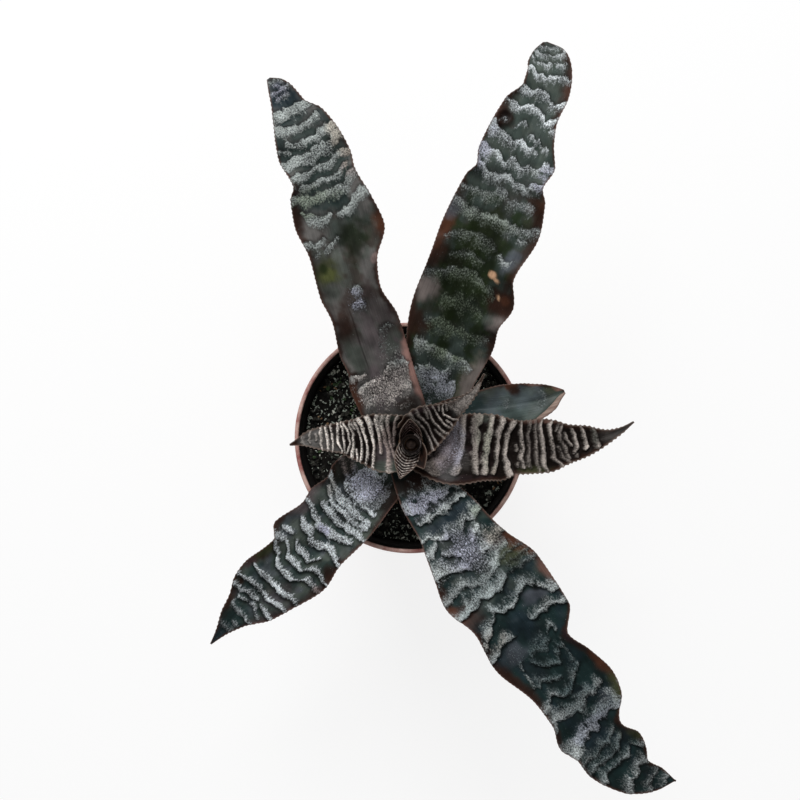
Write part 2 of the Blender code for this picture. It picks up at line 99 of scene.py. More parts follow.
# Heart, in the space that the part gives it.
HEART_FOOT = STEM_TOP + CLEAR
SCALE_ROOT_RADIUS = 4.2
SCALE_ROOT = HEART_FOOT + 4.4
SCALE_BEND = 0.55  # where along its length a small leaf of the heart bends down
ROLL_INNER = 3.1
ROLL_PITCH = 0.65
ROLL_TURNS = 2.2
ROLL_HEIGHT = 9.5
CORE_HEIGHT = 2.4
CORE_FOOT = POT_HEIGHT + HEART_FOOT + CORE_HEIGHT / 2

# Camera: the pot's rim, 105 mm across, fills 231 of the render's 800 pixels.
RIM_WIDTH_SHARE = 231 / 800
CAMERA_DISTANCE = 600.0
CAMERA_X, CAMERA_Y = -4.545, 17.27
SENSOR = 36.0

# Finishes: a Mix node's sockets for two colours and their mix, and the relief of grains.
MIX_A, MIX_B, MIX_OUT = 6, 7, 2
GRAIN_HEIGHT = 0.4


# --- colours ---------------------------------------------------------------------------------


def linear(hex_colour):
    """An sRGB hex colour as a linear RGBA tuple."""
    channels = [int(hex_colour[i:i + 2], 16) / 255 for i in (1, 3, 5)]
    return (*(c / 12.92 if c <= 0.04045 else ((c + 0.055) / 1.055) ** 2.4 for c in channels), 1.0)


SILVER = "#A8AEAE"
FROST = "#969C9A"
PALE = "#C2C8CB"
LILAC = "#A2A3B4"
BEIGE = "#958C80"
MIST = "#677A7C"
LICHEN = "#7D8A74"
BONE = "#C4BCB7"
BLUSH = "#94726A"
CREAM = "#A9A099"
PEARL = "#FBF1E8"
ASH = "#BDB3AC"
ROSE = "#8F7A76"
TEAL = "#353E3A"
DEEP_TEAL = "#182727"
NAVY = "#1B262C"
SLATE = "#3D3A38"
GREY = "#5A5856"
STEEL = "#474B52"
MAUVE = "#5C5456"
ASHEN = "#736A67"
OLIVE = "#3F422B"
MOSS = "#555A30"
GREEN = "#151D0A"
MOSS_SHADE = "#1E2913"
SAGE = "#444A44"
PLUM = "#33272A"
BROWN = "#2A1A14"
RUST = "#472A1D"
TERRACOTTA = "#6B5048"
STRAW = "#C49C7C"
BLACK = "#120D0B"
BARE, SCURF = "#000000", "#FFFFFF"  # loose scurf missing, and lying


@dataclass
class Leaf:
    """One leaf. Lengths run along the ground plan of its midrib, from the stem's axis.

    across runs from 1 at the left margin to -1 at the right one.
    """

    name: str
    root: float  # height where the blade leaves the stem
    midrib: list  # (x, y, height) from the stem's axis
    left: list  # (along, half-width, lift of the margin)
    right: list
    bands: list  # (cover, [(across, along, half thickness), ...]) of silver scales
    stains_and_painted_light: dict  # layer: [(colour, across, along, reach across, reach along, cover), ...] of stains, painted sheen and painted shade
    trough: float = 0.1  # rise of a margin over the midrib, as a share of the half-width
    start: float = ROOT_RADIUS
    rows: float = 0.65  # distance between cross rows
    columns: int = 48
    ground: str = TEAL
    silver: str = SILVER
    border: str = BROWN  # colour that the tissue takes towards its margins
    borders: tuple = (((0, 2), (200, 2)), ((0, 2), (200, 2)))  # left and right: (along, depth)
    spread: tuple = ((0, 0), (200, 0))  # (along, extra half thickness of every band)
    feather: float = 1.0  # how many times softer a band's side towards the root is than the other
    drift: float = 0.0  # how far a band's course sways along the leaf
    gap: float = 0.0  # least width of bare tissue between two bands, or 0 where bands may merge
    full: float = 0.84  # a band that ends further out than this runs on to the margin
    mottles: tuple = ()  # (colour, patch size, from, to, cover) of blotches in the tissue
    teeth: float = 1.0  # length of the margin's spines, as a share of the usual
    rib: float = 0.0  # height of the cross ribs that carry the bands
    painted_band_shade: float = 0.1  # painted shade: darkening of the tissue just beyond a band, where the band shades it
    fold: tuple = ()  # (along, across) of the free edge of a right margin folded over the blade
    knobs: tuple = ()  # (across, along, radius, height)


# --- silver bands, from tip to base ------------------------------------------------------------
# Each band is (cover, [(across, along, half thickness), ...]).

UPPER_RIGHT_BANDS = [
    (0.9, [(1, 186.2, 0.5), (0, 184.4, 0.5), (-1, 184.4, 0.5)]),
    (1, [(1, 183.6, 0.6), (0.5, 182, 0.7), (0.25, 180.8, 0.7), (0, 180.2, 0.7), (-0.5, 180, 0.7),
         (-1, 182, 0.7)]),
    (1, [(1, 180.6, 0.6), (0.5, 177.8, 0.7), (0.25, 176.4, 0.8), (0, 176, 0.8), (-0.5, 176, 0.7),
         (-0.8, 176.3, 0.5)]),
    (1, [(1, 173.4, 3.5), (0.8, 173, 2.6), (0.5, 170, 1.4), (0, 169.8, 1.3), (-0.5, 170.6, 1.2),
         (-0.85, 171.5, 0.6)]),
    (1, [(1, 161.5, 1.8), (0.75, 160, 1.6), (0.5, 160.5, 1.5), (0.25, 162, 1.6), (0, 162, 1.8),
         (-0.25, 161, 1.4), (-0.4, 159, 1.4), (-0.6, 157.5, 1.3), (-0.8, 159, 1.6),
         (-1, 160.5, 1.6)]),
    (1, [(0.85, 154, 1), (0.5, 151.5, 1.6), (0.25, 154, 1.4), (0.15, 155, 1.5), (0, 154, 1.6),
         (-0.25, 152.5, 1.5), (-0.45, 151.5, 1.4), (-0.55, 149.5, 1.3), (-0.75, 150.5, 1.6),
         (-0.95, 152.5, 1.6)]),
    (0.7, [(0.82, 144.6, 0.3), (0.74, 146, 0.6), (0.66, 145.4, 0.3)]),
    (0.9, [(0.35, 143.3, 0.4), (0.3, 145, 0.5), (0.15, 147.3, 0.5), (0.02, 145, 0.4)]),
    (1, [(-0.12, 142.5, 0.5), (-0.3, 142.3, 0.9), (-0.4, 140.5, 0.8), (-0.5, 141.5, 0.8),
         (-0.6, 139.5, 0.8), (-0.8, 139, 0.8)]),
    (0.8, [(-0.82, 147, 1.2), (-0.97, 147, 1.6)]),
    (0.9, [(-0.41, 136, 0.7), (-0.49, 136, 0.7)]),
    (1, [(1, 140, 2.8), (0.75, 138.5, 2.8), (0.6, 139, 2), (0.5, 137.5, 1.6), (0.25, 136.5, 1.6),
         (0, 138.4, 1.7), (-0.2, 136.2, 1.5), (-0.35, 137.2, 0.9)]),
    (1, [(1, 130, 2.8), (0.75, 129, 2.6), (0.6, 130, 1.8), (0.35, 128, 1.5), (0.25, 126.5, 1.5),
         (0.05, 130, 1.6), (-0.2, 126.7, 1.5), (-0.4, 128.5, 1.5), (-0.6, 128.5, 1.8),
         (-0.75, 130.5, 2.6), (-1, 131, 2.8)]),
    (1, [(1, 123, 2), (0.75, 121.5, 1.6), (0.5, 119.5, 1.4), (0.25, 120.5, 1.4), (0.05, 122, 1.5),
         (-0.25, 120, 1.3), (-0.5, 119.3, 1.3), (-0.75, 121, 1.8), (-0.95, 122, 1.8)]),
    (0.45, [(0.85, 112.5, 1), (0.5, 111.5, 1.7), (0.25, 112, 2), (0.05, 114, 3), (-0.1, 113.6, 2.2),
            (-0.25, 111.5, 1.6), (-0.75, 111.5, 1.4)]),
    (0.62, [(1, 106.5, 2), (0.75, 104, 1.8), (0.5, 103, 1.8), (0, 103, 1.8), (-0.25, 102, 1.7),
            (-0.5, 101.3, 1.7), (-0.75, 102.5, 1.6), (-0.9, 104, 1.4)]),
    (0.8, [(-0.62, 98, 0.8), (-0.82, 98.5, 0.8)]),
    (0.3, [(0.8, 89.6, 1.4), (0.5, 92, 1.8), (0.25, 93.5, 2), (0, 92, 2), (-0.25, 91, 1.6)]),
    (0.85, [(-0.4, 89.6, 0.7), (-0.55, 87.6, 0.7), (-0.65, 86.5, 0.9), (-0.78, 88, 0.6)]),
    (0.24, [(0.6, 83, 1.2), (0.2, 85, 1.8), (-0.1, 84, 1.4)]),
    (0.32, [(0.85, 71.5, 1.6), (0.5, 74, 2.3), (0.25, 76.5, 2.5), (0, 77, 2.6), (-0.25, 75, 2.2),
            (-0.55, 72.6, 1.6)]),
    (0.2, [(0.4, 64, 2.4), (0, 65, 3), (-0.5, 63.6, 2)]),
    (0.34, [(0.6, 54.4, 2), (0.3, 54, 2.6), (0, 53, 2.8), (-0.5, 51.5, 2.4), (-0.8, 52, 1.6)]),
    (0.66, [(0.8, 45.6, 1.8), (0.5, 44, 2.2), (0, 42, 2.2), (-0.25, 40.5, 2.2), (-0.5, 39.5, 2),
            (-0.7, 37.8, 1.2)]),
    (0.7, [(0.85, 30, 5), (0.6, 30, 7), (0.3, 29.4, 7), (0, 28.6, 6.6), (-0.45, 27, 5)]),
]

UPPER_LEFT_BANDS = [
    (0.7, [(0.6, 168, 0.4), (0, 168, 0.5), (-0.7, 168, 0.4)]),
    (0.7, [(0.1, 166.4, 0.2), (-0.3, 166.6, 0.5), (-0.95, 166.6, 0.6)]),
    (0.8, [(-0.1, 165, 0.4), (-0.35, 165.1, 0.4)]),
    (0.95, [(0.8, 163.3, 0.6), (0.2, 162.7, 0.7), (-0.2, 162.4, 0.7), (-0.9, 162.6, 0.7)]),
    (0.8, [(0.5, 159.8, 0.4), (-0.5, 159.8, 0.4)]),
    (0.8, [(0.95, 154.7, 0.5), (0.5, 154.4, 0.3)]),
    (1, [(0.9, 152.6, 2), (0.5, 151.6, 2.1), (0, 151.2, 2.1), (-0.25, 151, 2), (-0.5, 151.4, 2.1),
         (-0.9, 150.8, 1.9)]),
    (1, [(0.85, 146.4, 1.8), (0.5, 144.9, 1.7), (0.25, 144.1, 1.2), (0, 143.9, 1),
         (-0.25, 143.5, 1.1), (-0.5, 144.1, 1.3), (-0.75, 145.3, 1.4)]),
    (1, [(0.65, 138.7, 1.2), (0.5, 137.4, 1.6), (0.25, 136.6, 1.3), (0, 137.2, 0.9),
         (-0.25, 136.4, 1), (-0.5, 137.4, 1.4), (-0.75, 137.8, 1.9), (-0.88, 137.2, 1.6)]),
    (0.9, [(0.88, 137.6, 0.5), (0.62, 134.5, 0.6)]),
    (1, [(0.9, 129.9, 2.2), (0.25, 129.9, 2.3), (0, 130.3, 2.2), (-0.25, 129.9, 2),
         (-0.5, 130.5, 2.1), (-0.75, 132.8, 2.2), (-0.88, 134.1, 1.8)]),
    (1, [(0.9, 121.6, 2), (0.75, 122, 1.8), (0.5, 122.8, 1.2), (0.25, 123.7, 0.9),
         (0.12, 124.3, 0.9), (-0.25, 123.5, 1), (-0.5, 125.1, 1.1), (-0.75, 126.4, 1.3),
         (-0.88, 125.7, 1.1)]),
    (0.95, [(0.8, 117.2, 0.7), (0.5, 117.2, 0.8), (0.25, 117.8, 0.8), (0.12, 118.5, 0.8),
            (-0.15, 117.8, 0.8), (-0.35, 117.6, 0.8), (-0.5, 118.5, 0.8), (-0.65, 120.3, 0.8),
            (-0.82, 121.6, 0.6)]),
    (0.85, [(0.9, 112.8, 1.4), (0.65, 112.2, 1.7), (0.4, 111.2, 2), (0.25, 111.8, 1.6),
            (0, 111.8, 1.5), (-0.5, 112.4, 1.6), (-0.65, 114.7, 1.5), (-0.85, 117.2, 1.3)]),
    (0.9, [(0.75, 106.8, 0.8), (0.7, 104.3, 2), (0.5, 102.2, 3), (0.4, 100.4, 2.6),
           (0.25, 101.3, 1.8), (0.1, 103, 1)]),
    (0.9, [(-0.08, 103, 0.8), (-0.35, 103.4, 1.4), (-0.5, 105.5, 1.5), (-0.7, 107.2, 1.5),
           (-0.85, 108.8, 1.2)]),
    (0.85, [(0.88, 92.7, 1), (0.7, 91.5, 1.3), (0.5, 92.5, 1.3), (0.4, 93.7, 0.7)]),
    (0.8, [(0.82, 87.3, 0.9), (0.7, 88.7, 0.8)]),
    (0.85, [(0.52, 88, 0.6), (0.35, 90.7, 0.6), (0.2, 91.5, 0.6), (0.06, 93.2, 0.5)]),
    (0.7, [(0.14, 63.6, 1.7), (-0.2, 64.2, 1.8)]),
    (0.6, [(0.02, 70, 1.9), (-0.22, 70.4, 1.8)]),
    (0.33, [(0.74, 24, 4), (0.4, 25, 5), (0, 26, 6), (-0.4, 28, 8), (-0.78, 28, 8)]),
    (0.9, [(0.85, 34.8, 1.1), (0.5, 34.8, 1.2)]),
    (0.9, [(0.75, 29, 1.5), (0.5, 30.5, 1.8), (0.25, 30.5, 1.4)]),
    (1, [(0.7, 22.5, 1.6), (0.5, 23.5, 2.2), (0.25, 25, 2.2), (0.05, 25, 2)]),
    (0.9, [(0, 24, 4), (-0.2, 24, 5.5), (-0.45, 25, 3.2), (-0.75, 25, 2.8)]),
    (1, [(-0.15, 33, 1.6), (-0.35, 35.4, 2), (-0.5, 34.5, 2), (-0.8, 34.5, 2.2)]),
    (0.5, [(-0.25, 44, 0.8), (-0.29, 48, 0.7), (-0.38, 51, 0.7), (-0.7, 51.5, 0.8)]),
]

LOWER_RIGHT_BANDS = [
    (0.6, [(0.8, 191, 0.8), (0, 190.4, 1.1), (-0.8, 191.4, 0.8)]),
    (0.6, [(0.9, 185, 1), (0.4, 185.2, 1.2), (-0.1, 184, 1.2), (-0.6, 184.6, 1), (-0.9, 186, 1)]),
    (0.7, [(0.9, 177.5, 1.8), (0.7, 175.4, 2), (0.5, 175, 2), (0.3, 174, 1.8), (0.1, 176.6, 1.6),
           (-0.3, 176, 1.4), (-0.9, 178, 1.4)]),
    (0.85, [(0.9, 169, 1), (0.7, 166.7, 1), (0.6, 165, 0.7)]),
    (0.85, [(0.45, 165.6, 0.8), (0.3, 167.5, 1.2), (0.1, 167.3, 1.1), (-0.25, 167.3, 1.1),
            (-0.45, 166, 1), (-0.9, 168.4, 1.2)]),
    (0.7, [(0.65, 156.3, 1.2), (0.4, 159.2, 1.5), (0.2, 161.3, 1.5), (0, 161.7, 1.4),
           (-0.5, 160.8, 1.4), (-0.88, 162, 1.5)]),
    (0.7, [(0.65, 151.6, 0.9), (0.4, 153.8, 1.1), (0.25, 155, 1.1), (0.1, 156.7, 1),
           (-0.1, 155, 1.1), (-0.4, 157, 1.1), (-0.9, 157, 1.2)]),
    (0.75, [(0.95, 142.4, 4), (0.5, 142.8, 3.8), (0.25, 143.6, 3.8), (0.05, 145.2, 3.6),
            (-0.1, 145, 3.4), (-0.3, 146, 3.4), (-0.5, 146.8, 3.4), (-0.65, 148.4, 3.4),
            (-0.95, 150, 3.2)]),
    (0.62, [(0.65, 130, 2), (0.45, 131.4, 2.8), (0.3, 130.8, 2.6), (0.15, 133, 3.2),
            (0, 134.4, 3.4), (-0.15, 135, 3.4), (-0.5, 133.6, 3.4), (-0.65, 133, 3),
            (-0.92, 135.8, 3)]),
    (0.8, [(0.55, 118.8, 0.8), (0.3, 121.3, 1.2), (0.15, 124.2, 1.4), (0, 126.7, 1.4),
           (-0.2, 127, 1.5), (-0.35, 125.8, 1.4), (-0.5, 124.2, 1.3), (-0.65, 125, 1.3),
           (-0.75, 127.5, 1.3), (-0.92, 129, 1.3)]),
    (0.65, [(0, 119.8, 0.6), (-0.25, 118.3, 1.3), (-0.4, 116.3, 1.4), (-0.5, 115.8, 1.4),
            (-0.62, 118, 0.8)]),
    (0.65, [(-0.53, 105, 0.9), (-0.6, 109, 1.6), (-0.66, 113.5, 1.8), (-0.73, 117.4, 0.8)]),
    (0.6, [(0.7, 106.4, 0.8), (0.63, 111, 1.2), (0.52, 115.4, 1.4), (0.45, 116.8, 0.6)]),
    (0.7, [(0.6, 109, 1), (0.5, 107.5, 1.2), (0.4, 110, 1.1), (0.3, 110.8, 1.1), (0.2, 114.2, 1.2),
           (0.1, 112.5, 1.2), (-0.1, 112.5, 1.2), (-0.2, 110.8, 1.2), (-0.32, 107.2, 0.9)]),
    (0.6, [(-0.24, 104, 0.5), (-0.3, 109, 1)]),
    (0.35, [(0.32, 103, 1.4), (0.1, 103, 2.6), (-0.18, 103, 1.4)]),
    (0.85, [(0.63, 101.9, 0.9), (0.5, 99.2, 1), (0.38, 100.2, 0.6)]),
    (0.95, [(0.9, 93.3, 1.6), (0.75, 91.3, 1.7), (0.5, 90.8, 1.6), (0.3, 91.7, 1.2),
            (0.2, 92, 0.6)]),
    (0.95, [(-0.28, 93.8, 0.7), (-0.35, 93.3, 1.3), (-0.5, 92.1, 1.8), (-0.75, 94.6, 1.8),
            (-0.97, 96.7, 1.6)]),
    (1, [(0.85, 85.8, 2.2), (0.7, 81.7, 2.5), (0.6, 79.2, 2.3), (0.5, 77.5, 1.8), (0.35, 77.9, 1.6),
         (0.2, 80.8, 1.6), (0, 82.1, 1.6), (-0.2, 82.5, 1.6), (-0.35, 79.2, 1.8), (-0.45, 81.7, 2),
         (-0.6, 83.3, 2.2), (-0.8, 86.7, 2.3), (-0.92, 90, 2)]),
    (1, [(0.3, 70.4, 1.2), (0, 72.2, 2.4), (-0.25, 71.8, 2.4), (-0.5, 71.8, 2.4),
         (-0.85, 73.6, 2)]),
    (0.35, [(0.9, 70.6, 0.6), (0.4, 70.4, 0.7)]),
    (0.35, [(0.9, 66.6, 0.5), (0.45, 67.6, 0.6)]),
    (0.35, [(0.9, 63, 0.5), (0.45, 63.6, 0.6)]),
    (0.75, [(0.8, 59, 1.4), (0.5, 60.5, 2), (0.3, 63.8, 2), (0, 65.9, 1.9), (-0.2, 67.2, 1.8),
            (-0.4, 64.3, 1.8), (-0.55, 63, 1.7), (-0.75, 63.4, 1.6), (-0.88, 64.7, 1.4)]),
    (0.95, [(0.85, 53.2, 1.6), (0.5, 54.7, 2), (0.25, 56.3, 2), (0, 57.6, 2), (-0.15, 58, 2),
            (-0.3, 57.2, 2), (-0.5, 55.5, 2), (-0.62, 53.8, 3), (-0.75, 53.2, 3.6),
            (-0.95, 53, 3.4)]),
    (0.95, [(-0.62, 43.6, 1.2), (-0.75, 44, 2), (-0.93, 44.6, 2.2)]),
    (1, [(0.6, 46.6, 1.2), (0.35, 48.8, 1.8), (0.1, 50.9, 1.8), (-0.12, 51.8, 1.8),
         (-0.25, 50.5, 1.8), (-0.4, 49, 1.8), (-0.58, 47.4, 1.2)]),
    (0.3, [(0.18, 54, 10), (0, 54, 12), (-0.18, 54, 10)]),
    (1, [(0.95, 41, 1.2), (0.7, 42.2, 1.8), (0.5, 41.3, 1.6), (0.35, 41.8, 1.6), (0.2, 43, 1.6),
         (0.12, 44.3, 1.5), (-0.1, 41.3, 1.5), (-0.25, 42.6, 1.6), (-0.5, 41.3, 1.5),
         (-0.65, 40.4, 1.5), (-0.72, 37.8, 1), (-0.85, 38.2, 0.8)]),
    (1, [(0.9, 33.4, 1.2), (0.5, 33, 1.3), (0.3, 33, 1.4), (0, 32.6, 1.5), (-0.25, 32.5, 1.5),
         (-0.5, 32.4, 1.4), (-0.8, 31.4, 0.9)]),
    (0.8, [(0.95, 24.2, 3.6), (0.5, 24.2, 4.4), (0, 24.4, 4.6), (-0.5, 24.6, 4), (-0.9, 24, 3)]),
]

LOWER_LEFT_BANDS = [
    (0.25, [(0.9, 115.6, 0.8), (0, 115.5, 1.1), (-0.9, 115.6, 0.8)]),
    (0.45, [(0.65, 111.8, 0.5), (0.25, 111.2, 0.6)]),
    (0.95, [(0.95, 106, 0.5), (0.8, 107, 0.6), (0.6, 106.3, 0.7), (0.38, 105.9, 0.5)]),
    (0.45, [(0.38, 105.9, 0.5), (0, 106.2, 0.6), (-0.3, 106, 0.5), (-0.65, 105.2, 0.5)]),
    (0.6, [(0.8, 101.7, 0.3), (0.48, 100.7, 0.3)]),
    (0.9, [(0.44, 100.4, 0.5), (0.3, 98.9, 0.7), (0.2, 99, 0.7), (0.06, 99.7, 0.5)]),
    (0.9, [(-0.06, 99.7, 0.4), (-0.25, 100.6, 0.5), (-0.5, 101.6, 0.4)]),
    (1, [(0.85, 96.8, 0.9), (0.6, 96.6, 1), (0.4, 96.4, 0.6), (0.3, 95.9, 0.3)]),
    (1, [(0.13, 96, 0.7), (-0.1, 96.5, 1.2), (-0.3, 96.8, 1), (-0.45, 97.8, 0.5), (-0.6, 99, 0.6),
         (-0.75, 98.8, 0.7), (-0.92, 99.4, 1)]),
    (1, [(0.97, 89.3, 0.6), (0.75, 90, 0.9), (0.5, 91, 0.9), (0.25, 92, 0.9), (0, 91.8, 0.9),
         (-0.25, 92, 1), (-0.5, 92.7, 0.9), (-0.62, 93.9, 0.8), (-0.75, 94.4, 0.6),
         (-0.92, 95, 0.9)]),
    (1, [(0.92, 84.2, 0.6), (0.75, 84.3, 0.8), (0.6, 84.6, 1.3), (0.4, 85.3, 1.1),
         (0.25, 85.8, 1.1), (0, 85.7, 1.4), (-0.2, 86, 1.5), (-0.4, 86.4, 1.2), (-0.6, 86.7, 0.6),
         (-0.78, 86.6, 0.5)]),
    (1, [(0.75, 74.8, 0.5), (0.5, 74.5, 1), (0.42, 76.4, 0.7), (0.35, 77.6, 0.8), (0.25, 79.1, 1.1),
         (0, 79, 1.1), (-0.2, 79, 1.1), (-0.3, 78.7, 1), (-0.45, 77.2, 1), (-0.6, 74, 0.8),
         (-0.78, 73.2, 0.8), (-0.95, 71, 0.5)]),
    (0.7, [(0.95, 75, 0.4), (0.82, 75.4, 0.7)]),
    (1, [(0.88, 70.6, 0.4), (0.65, 69.3, 0.9), (0.5, 69.2, 1), (0.4, 70.2, 1), (0.25, 73.8, 0.7),
         (0.1, 73, 1.1), (-0.2, 73, 1.1), (-0.3, 72.5, 1.3), (-0.4, 70.8, 1), (-0.52, 68.6, 0.7)]),
    (0.8, [(-0.58, 67.4, 0.4), (-0.75, 68.4, 0.6), (-0.97, 69.3, 0.6)]),
    (1, [(0.45, 63.8, 0.3), (0.33, 66, 0.5), (0.25, 68.3, 0.7), (0.15, 67.8, 1), (0.05, 67, 0.9),
         (-0.1, 67.4, 1), (-0.2, 67.2, 0.9), (-0.32, 64.8, 0.4)]),
    (0.9, [(-0.53, 63.8, 0.5), (-0.65, 64.6, 0.7), (-0.78, 64.8, 0.5)]),
    (1, [(0.97, 60.5, 0.6), (0.8, 59.4, 0.6), (0.65, 58.5, 1.2), (0.5, 58, 1.4), (0.35, 58.4, 1.4),
         (0.25, 60.2, 1.3), (0, 60.3, 1.5), (-0.15, 59.7, 1.6), (-0.25, 58.8, 1.4),
         (-0.4, 58.7, 1.4), (-0.5, 57.9, 0.9), (-0.68, 56.6, 0.6)]),
    (1, [(0.78, 50.3, 0.6), (0.6, 51.4, 1), (0.5, 51.8, 1.1), (0.35, 52.4, 1.1), (0.25, 53.7, 1.4),
         (0, 53.4, 1.9), (-0.25, 53.6, 1.4), (-0.35, 52, 1.2), (-0.5, 51.9, 1.2),
         (-0.65, 50.8, 0.7), (-0.92, 49.2, 0.4)]),
    (0.95, [(0.92, 46, 0.3), (0.75, 45.8, 0.6), (0.5, 46.6, 1), (0.35, 46.5, 1), (0.2, 47.8, 0.8),
            (0, 47.2, 1), (-0.2, 46.6, 1.3), (-0.55, 45.7, 0.9)]),
    (0.9, [(0.82, 42, 0.5), (0.6, 42.3, 0.6), (0.35, 43.2, 0.6), (0, 42.5, 0.9), (-0.25, 43, 0.7),
           (-0.5, 41, 0.7), (-0.65, 39.3, 0.6), (-0.78, 37.6, 0.4)]),
    (0.9, [(0.82, 39.9, 0.5), (0.5, 39.9, 1), (0.25, 40, 1.3), (0, 39.2, 1.3), (-0.25, 39.4, 1.3),
           (-0.45, 38, 0.8), (-0.6, 36.9, 0.4), (-0.75, 35.6, 0.4), (-0.93, 33.8, 0.6)]),
    (0.95, [(0.75, 35.4, 0.5), (0.5, 35, 0.9), (0.25, 34.6, 1), (0, 34.2, 1.1), (-0.2, 34, 1),
            (-0.45, 33, 0.5)]),
    (0.8, [(0.44, 29.6, 4.4), (0.25, 28, 6.8), (0, 27.6, 7.2), (-0.25, 27.6, 7), (-0.34, 28.4, 5)]),
    (0.25, [(0.7, 27, 4), (0.5, 27, 5)]),
    (0.6, [(-0.45, 30.4, 0.3), (-0.65, 28.8, 0.3), (-0.85, 27, 0.3)]),
    (0.5, [(-0.45, 26.4, 0.3), (-0.65, 24.8, 0.3), (-0.85, 23.4, 0.3)]),
]

RIGHT_RIBS = [
    (0.7, [(0.9, 78.6, 1), (0.5, 79, 0.9), (0, 79.2, 1.1), (-0.5, 79.6, 1.1), (-0.8, 79.8, 0.9)]),
    (0.95, [(0.92, 73.4, 0.5), (0.75, 74.1, 0.7), (0.5, 74.4, 0.8), (0.25, 74.6, 0.9), (0, 75, 0.7),
            (-0.25, 74.9, 0.8), (-0.45, 74.9, 1.1), (-0.57, 74.2, 0.7)]),
    (0.9, [(0.82, 69.5, 0.6), (0.5, 70.4, 0.7), (0.25, 70.6, 0.8), (0, 70.8, 0.8),
           (-0.25, 70.8, 0.8), (-0.4, 70.6, 0.9), (-0.5, 69.8, 0.9), (-0.62, 69.2, 0.6)]),
    (0.7, [(-0.66, 70.4, 0.6), (-0.84, 70.6, 0.7)]),
    (0.9, [(0.55, 67, 0.3), (0.25, 67, 0.6), (0, 67.8, 0.6), (-0.18, 68.6, 0.4)]),
    (0.75, [(0.95, 66, 0.4), (0.75, 65.7, 0.4), (0.5, 64.7, 0.6), (0.25, 64.4, 0.6), (0, 65, 0.5),
            (-0.25, 65.9, 0.6), (-0.5, 66.1, 0.6), (-0.78, 67.1, 0.5)]),
    (0.6, [(-0.06, 62.7, 0.3), (-0.25, 63.6, 0.45), (-0.5, 63.9, 0.45), (-0.65, 64.5, 0.5),
           (-0.95, 66.8, 0.5)]),
    (0.8, [(0.95, 65.4, 0.4), (0.75, 64.2, 0.4), (0.55, 63.2, 0.3)]),
    (1, [(0.97, 62.1, 0.7), (0.75, 60.8, 1), (0.5, 60.7, 0.9), (0.25, 60.8, 0.8), (0, 60.9, 0.9),
         (-0.25, 60.8, 0.7), (-0.5, 60.6, 0.9), (-0.6, 61, 0.8), (-0.75, 62.2, 0.5),
         (-0.95, 63.4, 0.5)]),
    (1, [(0.95, 57.5, 0.6), (0.75, 56.4, 0.9), (0.5, 56.5, 1), (0.25, 56.9, 0.9),
         (-0.25, 56.9, 0.9), (-0.5, 56.7, 0.95), (-0.75, 56.6, 0.9), (-0.92, 57.9, 0.5)]),
    (0.7, [(0.92, 54.3, 0.5), (0.5, 54, 0.4), (0, 54.2, 0.4), (-0.5, 54, 0.6), (-0.75, 54.6, 0.5),
           (-0.97, 54.9, 0.5)]),
    (0.65, [(0.95, 51.8, 0.6), (0.75, 51.7, 0.5), (0.6, 51.4, 0.4), (0.5, 50.6, 0.5),
            (0.25, 50.8, 0.6), (0.1, 51.3, 0.4), (-0.2, 51, 0.4), (-0.5, 50.5, 0.9),
            (-0.8, 51.3, 0.7)]),
    (1, [(0.97, 48.1, 0.4), (0.75, 47.8, 0.5), (0.5, 47.9, 0.8), (0.25, 48, 0.8),
         (-0.05, 48.6, 0.8), (-0.25, 47.8, 0.9), (-0.45, 47.5, 1), (-0.6, 48.2, 0.9),
         (-0.8, 48.6, 0.9)]),
    (0.8, [(0.1, 45.8, 0.4), (-0.17, 45.9, 0.5)]),
    (0.6, [(-0.58, 45.9, 0.4), (-0.74, 46, 0.5)]),
    (1, [(0.97, 45.3, 1), (0.75, 44.1, 1), (0.5, 42.5, 1), (0.25, 42, 0.95), (0, 41.2, 0.9),
         (-0.25, 41, 0.9), (-0.5, 41.4, 1.2), (-0.75, 41.7, 1.3), (-0.95, 42.8, 1.3)]),
    (1, [(0.95, 40.5, 1.2), (0.75, 40.1, 1.2), (0.5, 38.9, 1.1), (0.25, 38.4, 0.9), (0, 37.8, 1),
         (-0.25, 37.2, 1), (-0.5, 36.5, 1.2), (-0.8, 34.7, 1.1)]),
    (1, [(0.95, 36.8, 0.8), (0.75, 36.3, 0.9), (0.5, 35.1, 1.4), (0.25, 34.1, 1.5), (0, 33, 1.6),
         (-0.25, 32.3, 1.5), (-0.5, 31.5, 1.4), (-0.8, 31, 1.3)]),
    (0.75, [(0.95, 31.6, 1.7), (0.75, 30.8, 1.9), (0.5, 29.6, 2), (0.25, 28.6, 2), (0, 27.9, 1.8),
            (-0.25, 27.1, 1.7), (-0.5, 27.2, 1.3), (-0.78, 27.9, 0.7)]),
    (0.7, [(0.97, 26.4, 1.3), (0.75, 25, 1.6), (0.5, 24.2, 1.5), (0.25, 23.4, 1.4), (0, 22.6, 1.2),
           (-0.25, 20.6, 1.2), (-0.5, 20.2, 1.4), (-0.7, 19.6, 1.2)]),
    (0.3, [(0.9, 19.6, 2.4), (0.5, 18, 3), (0.25, 16, 3.4), (0, 15, 3.4), (-0.3, 13.4, 3),
           (-0.8, 12.6, 2.4)]),
]

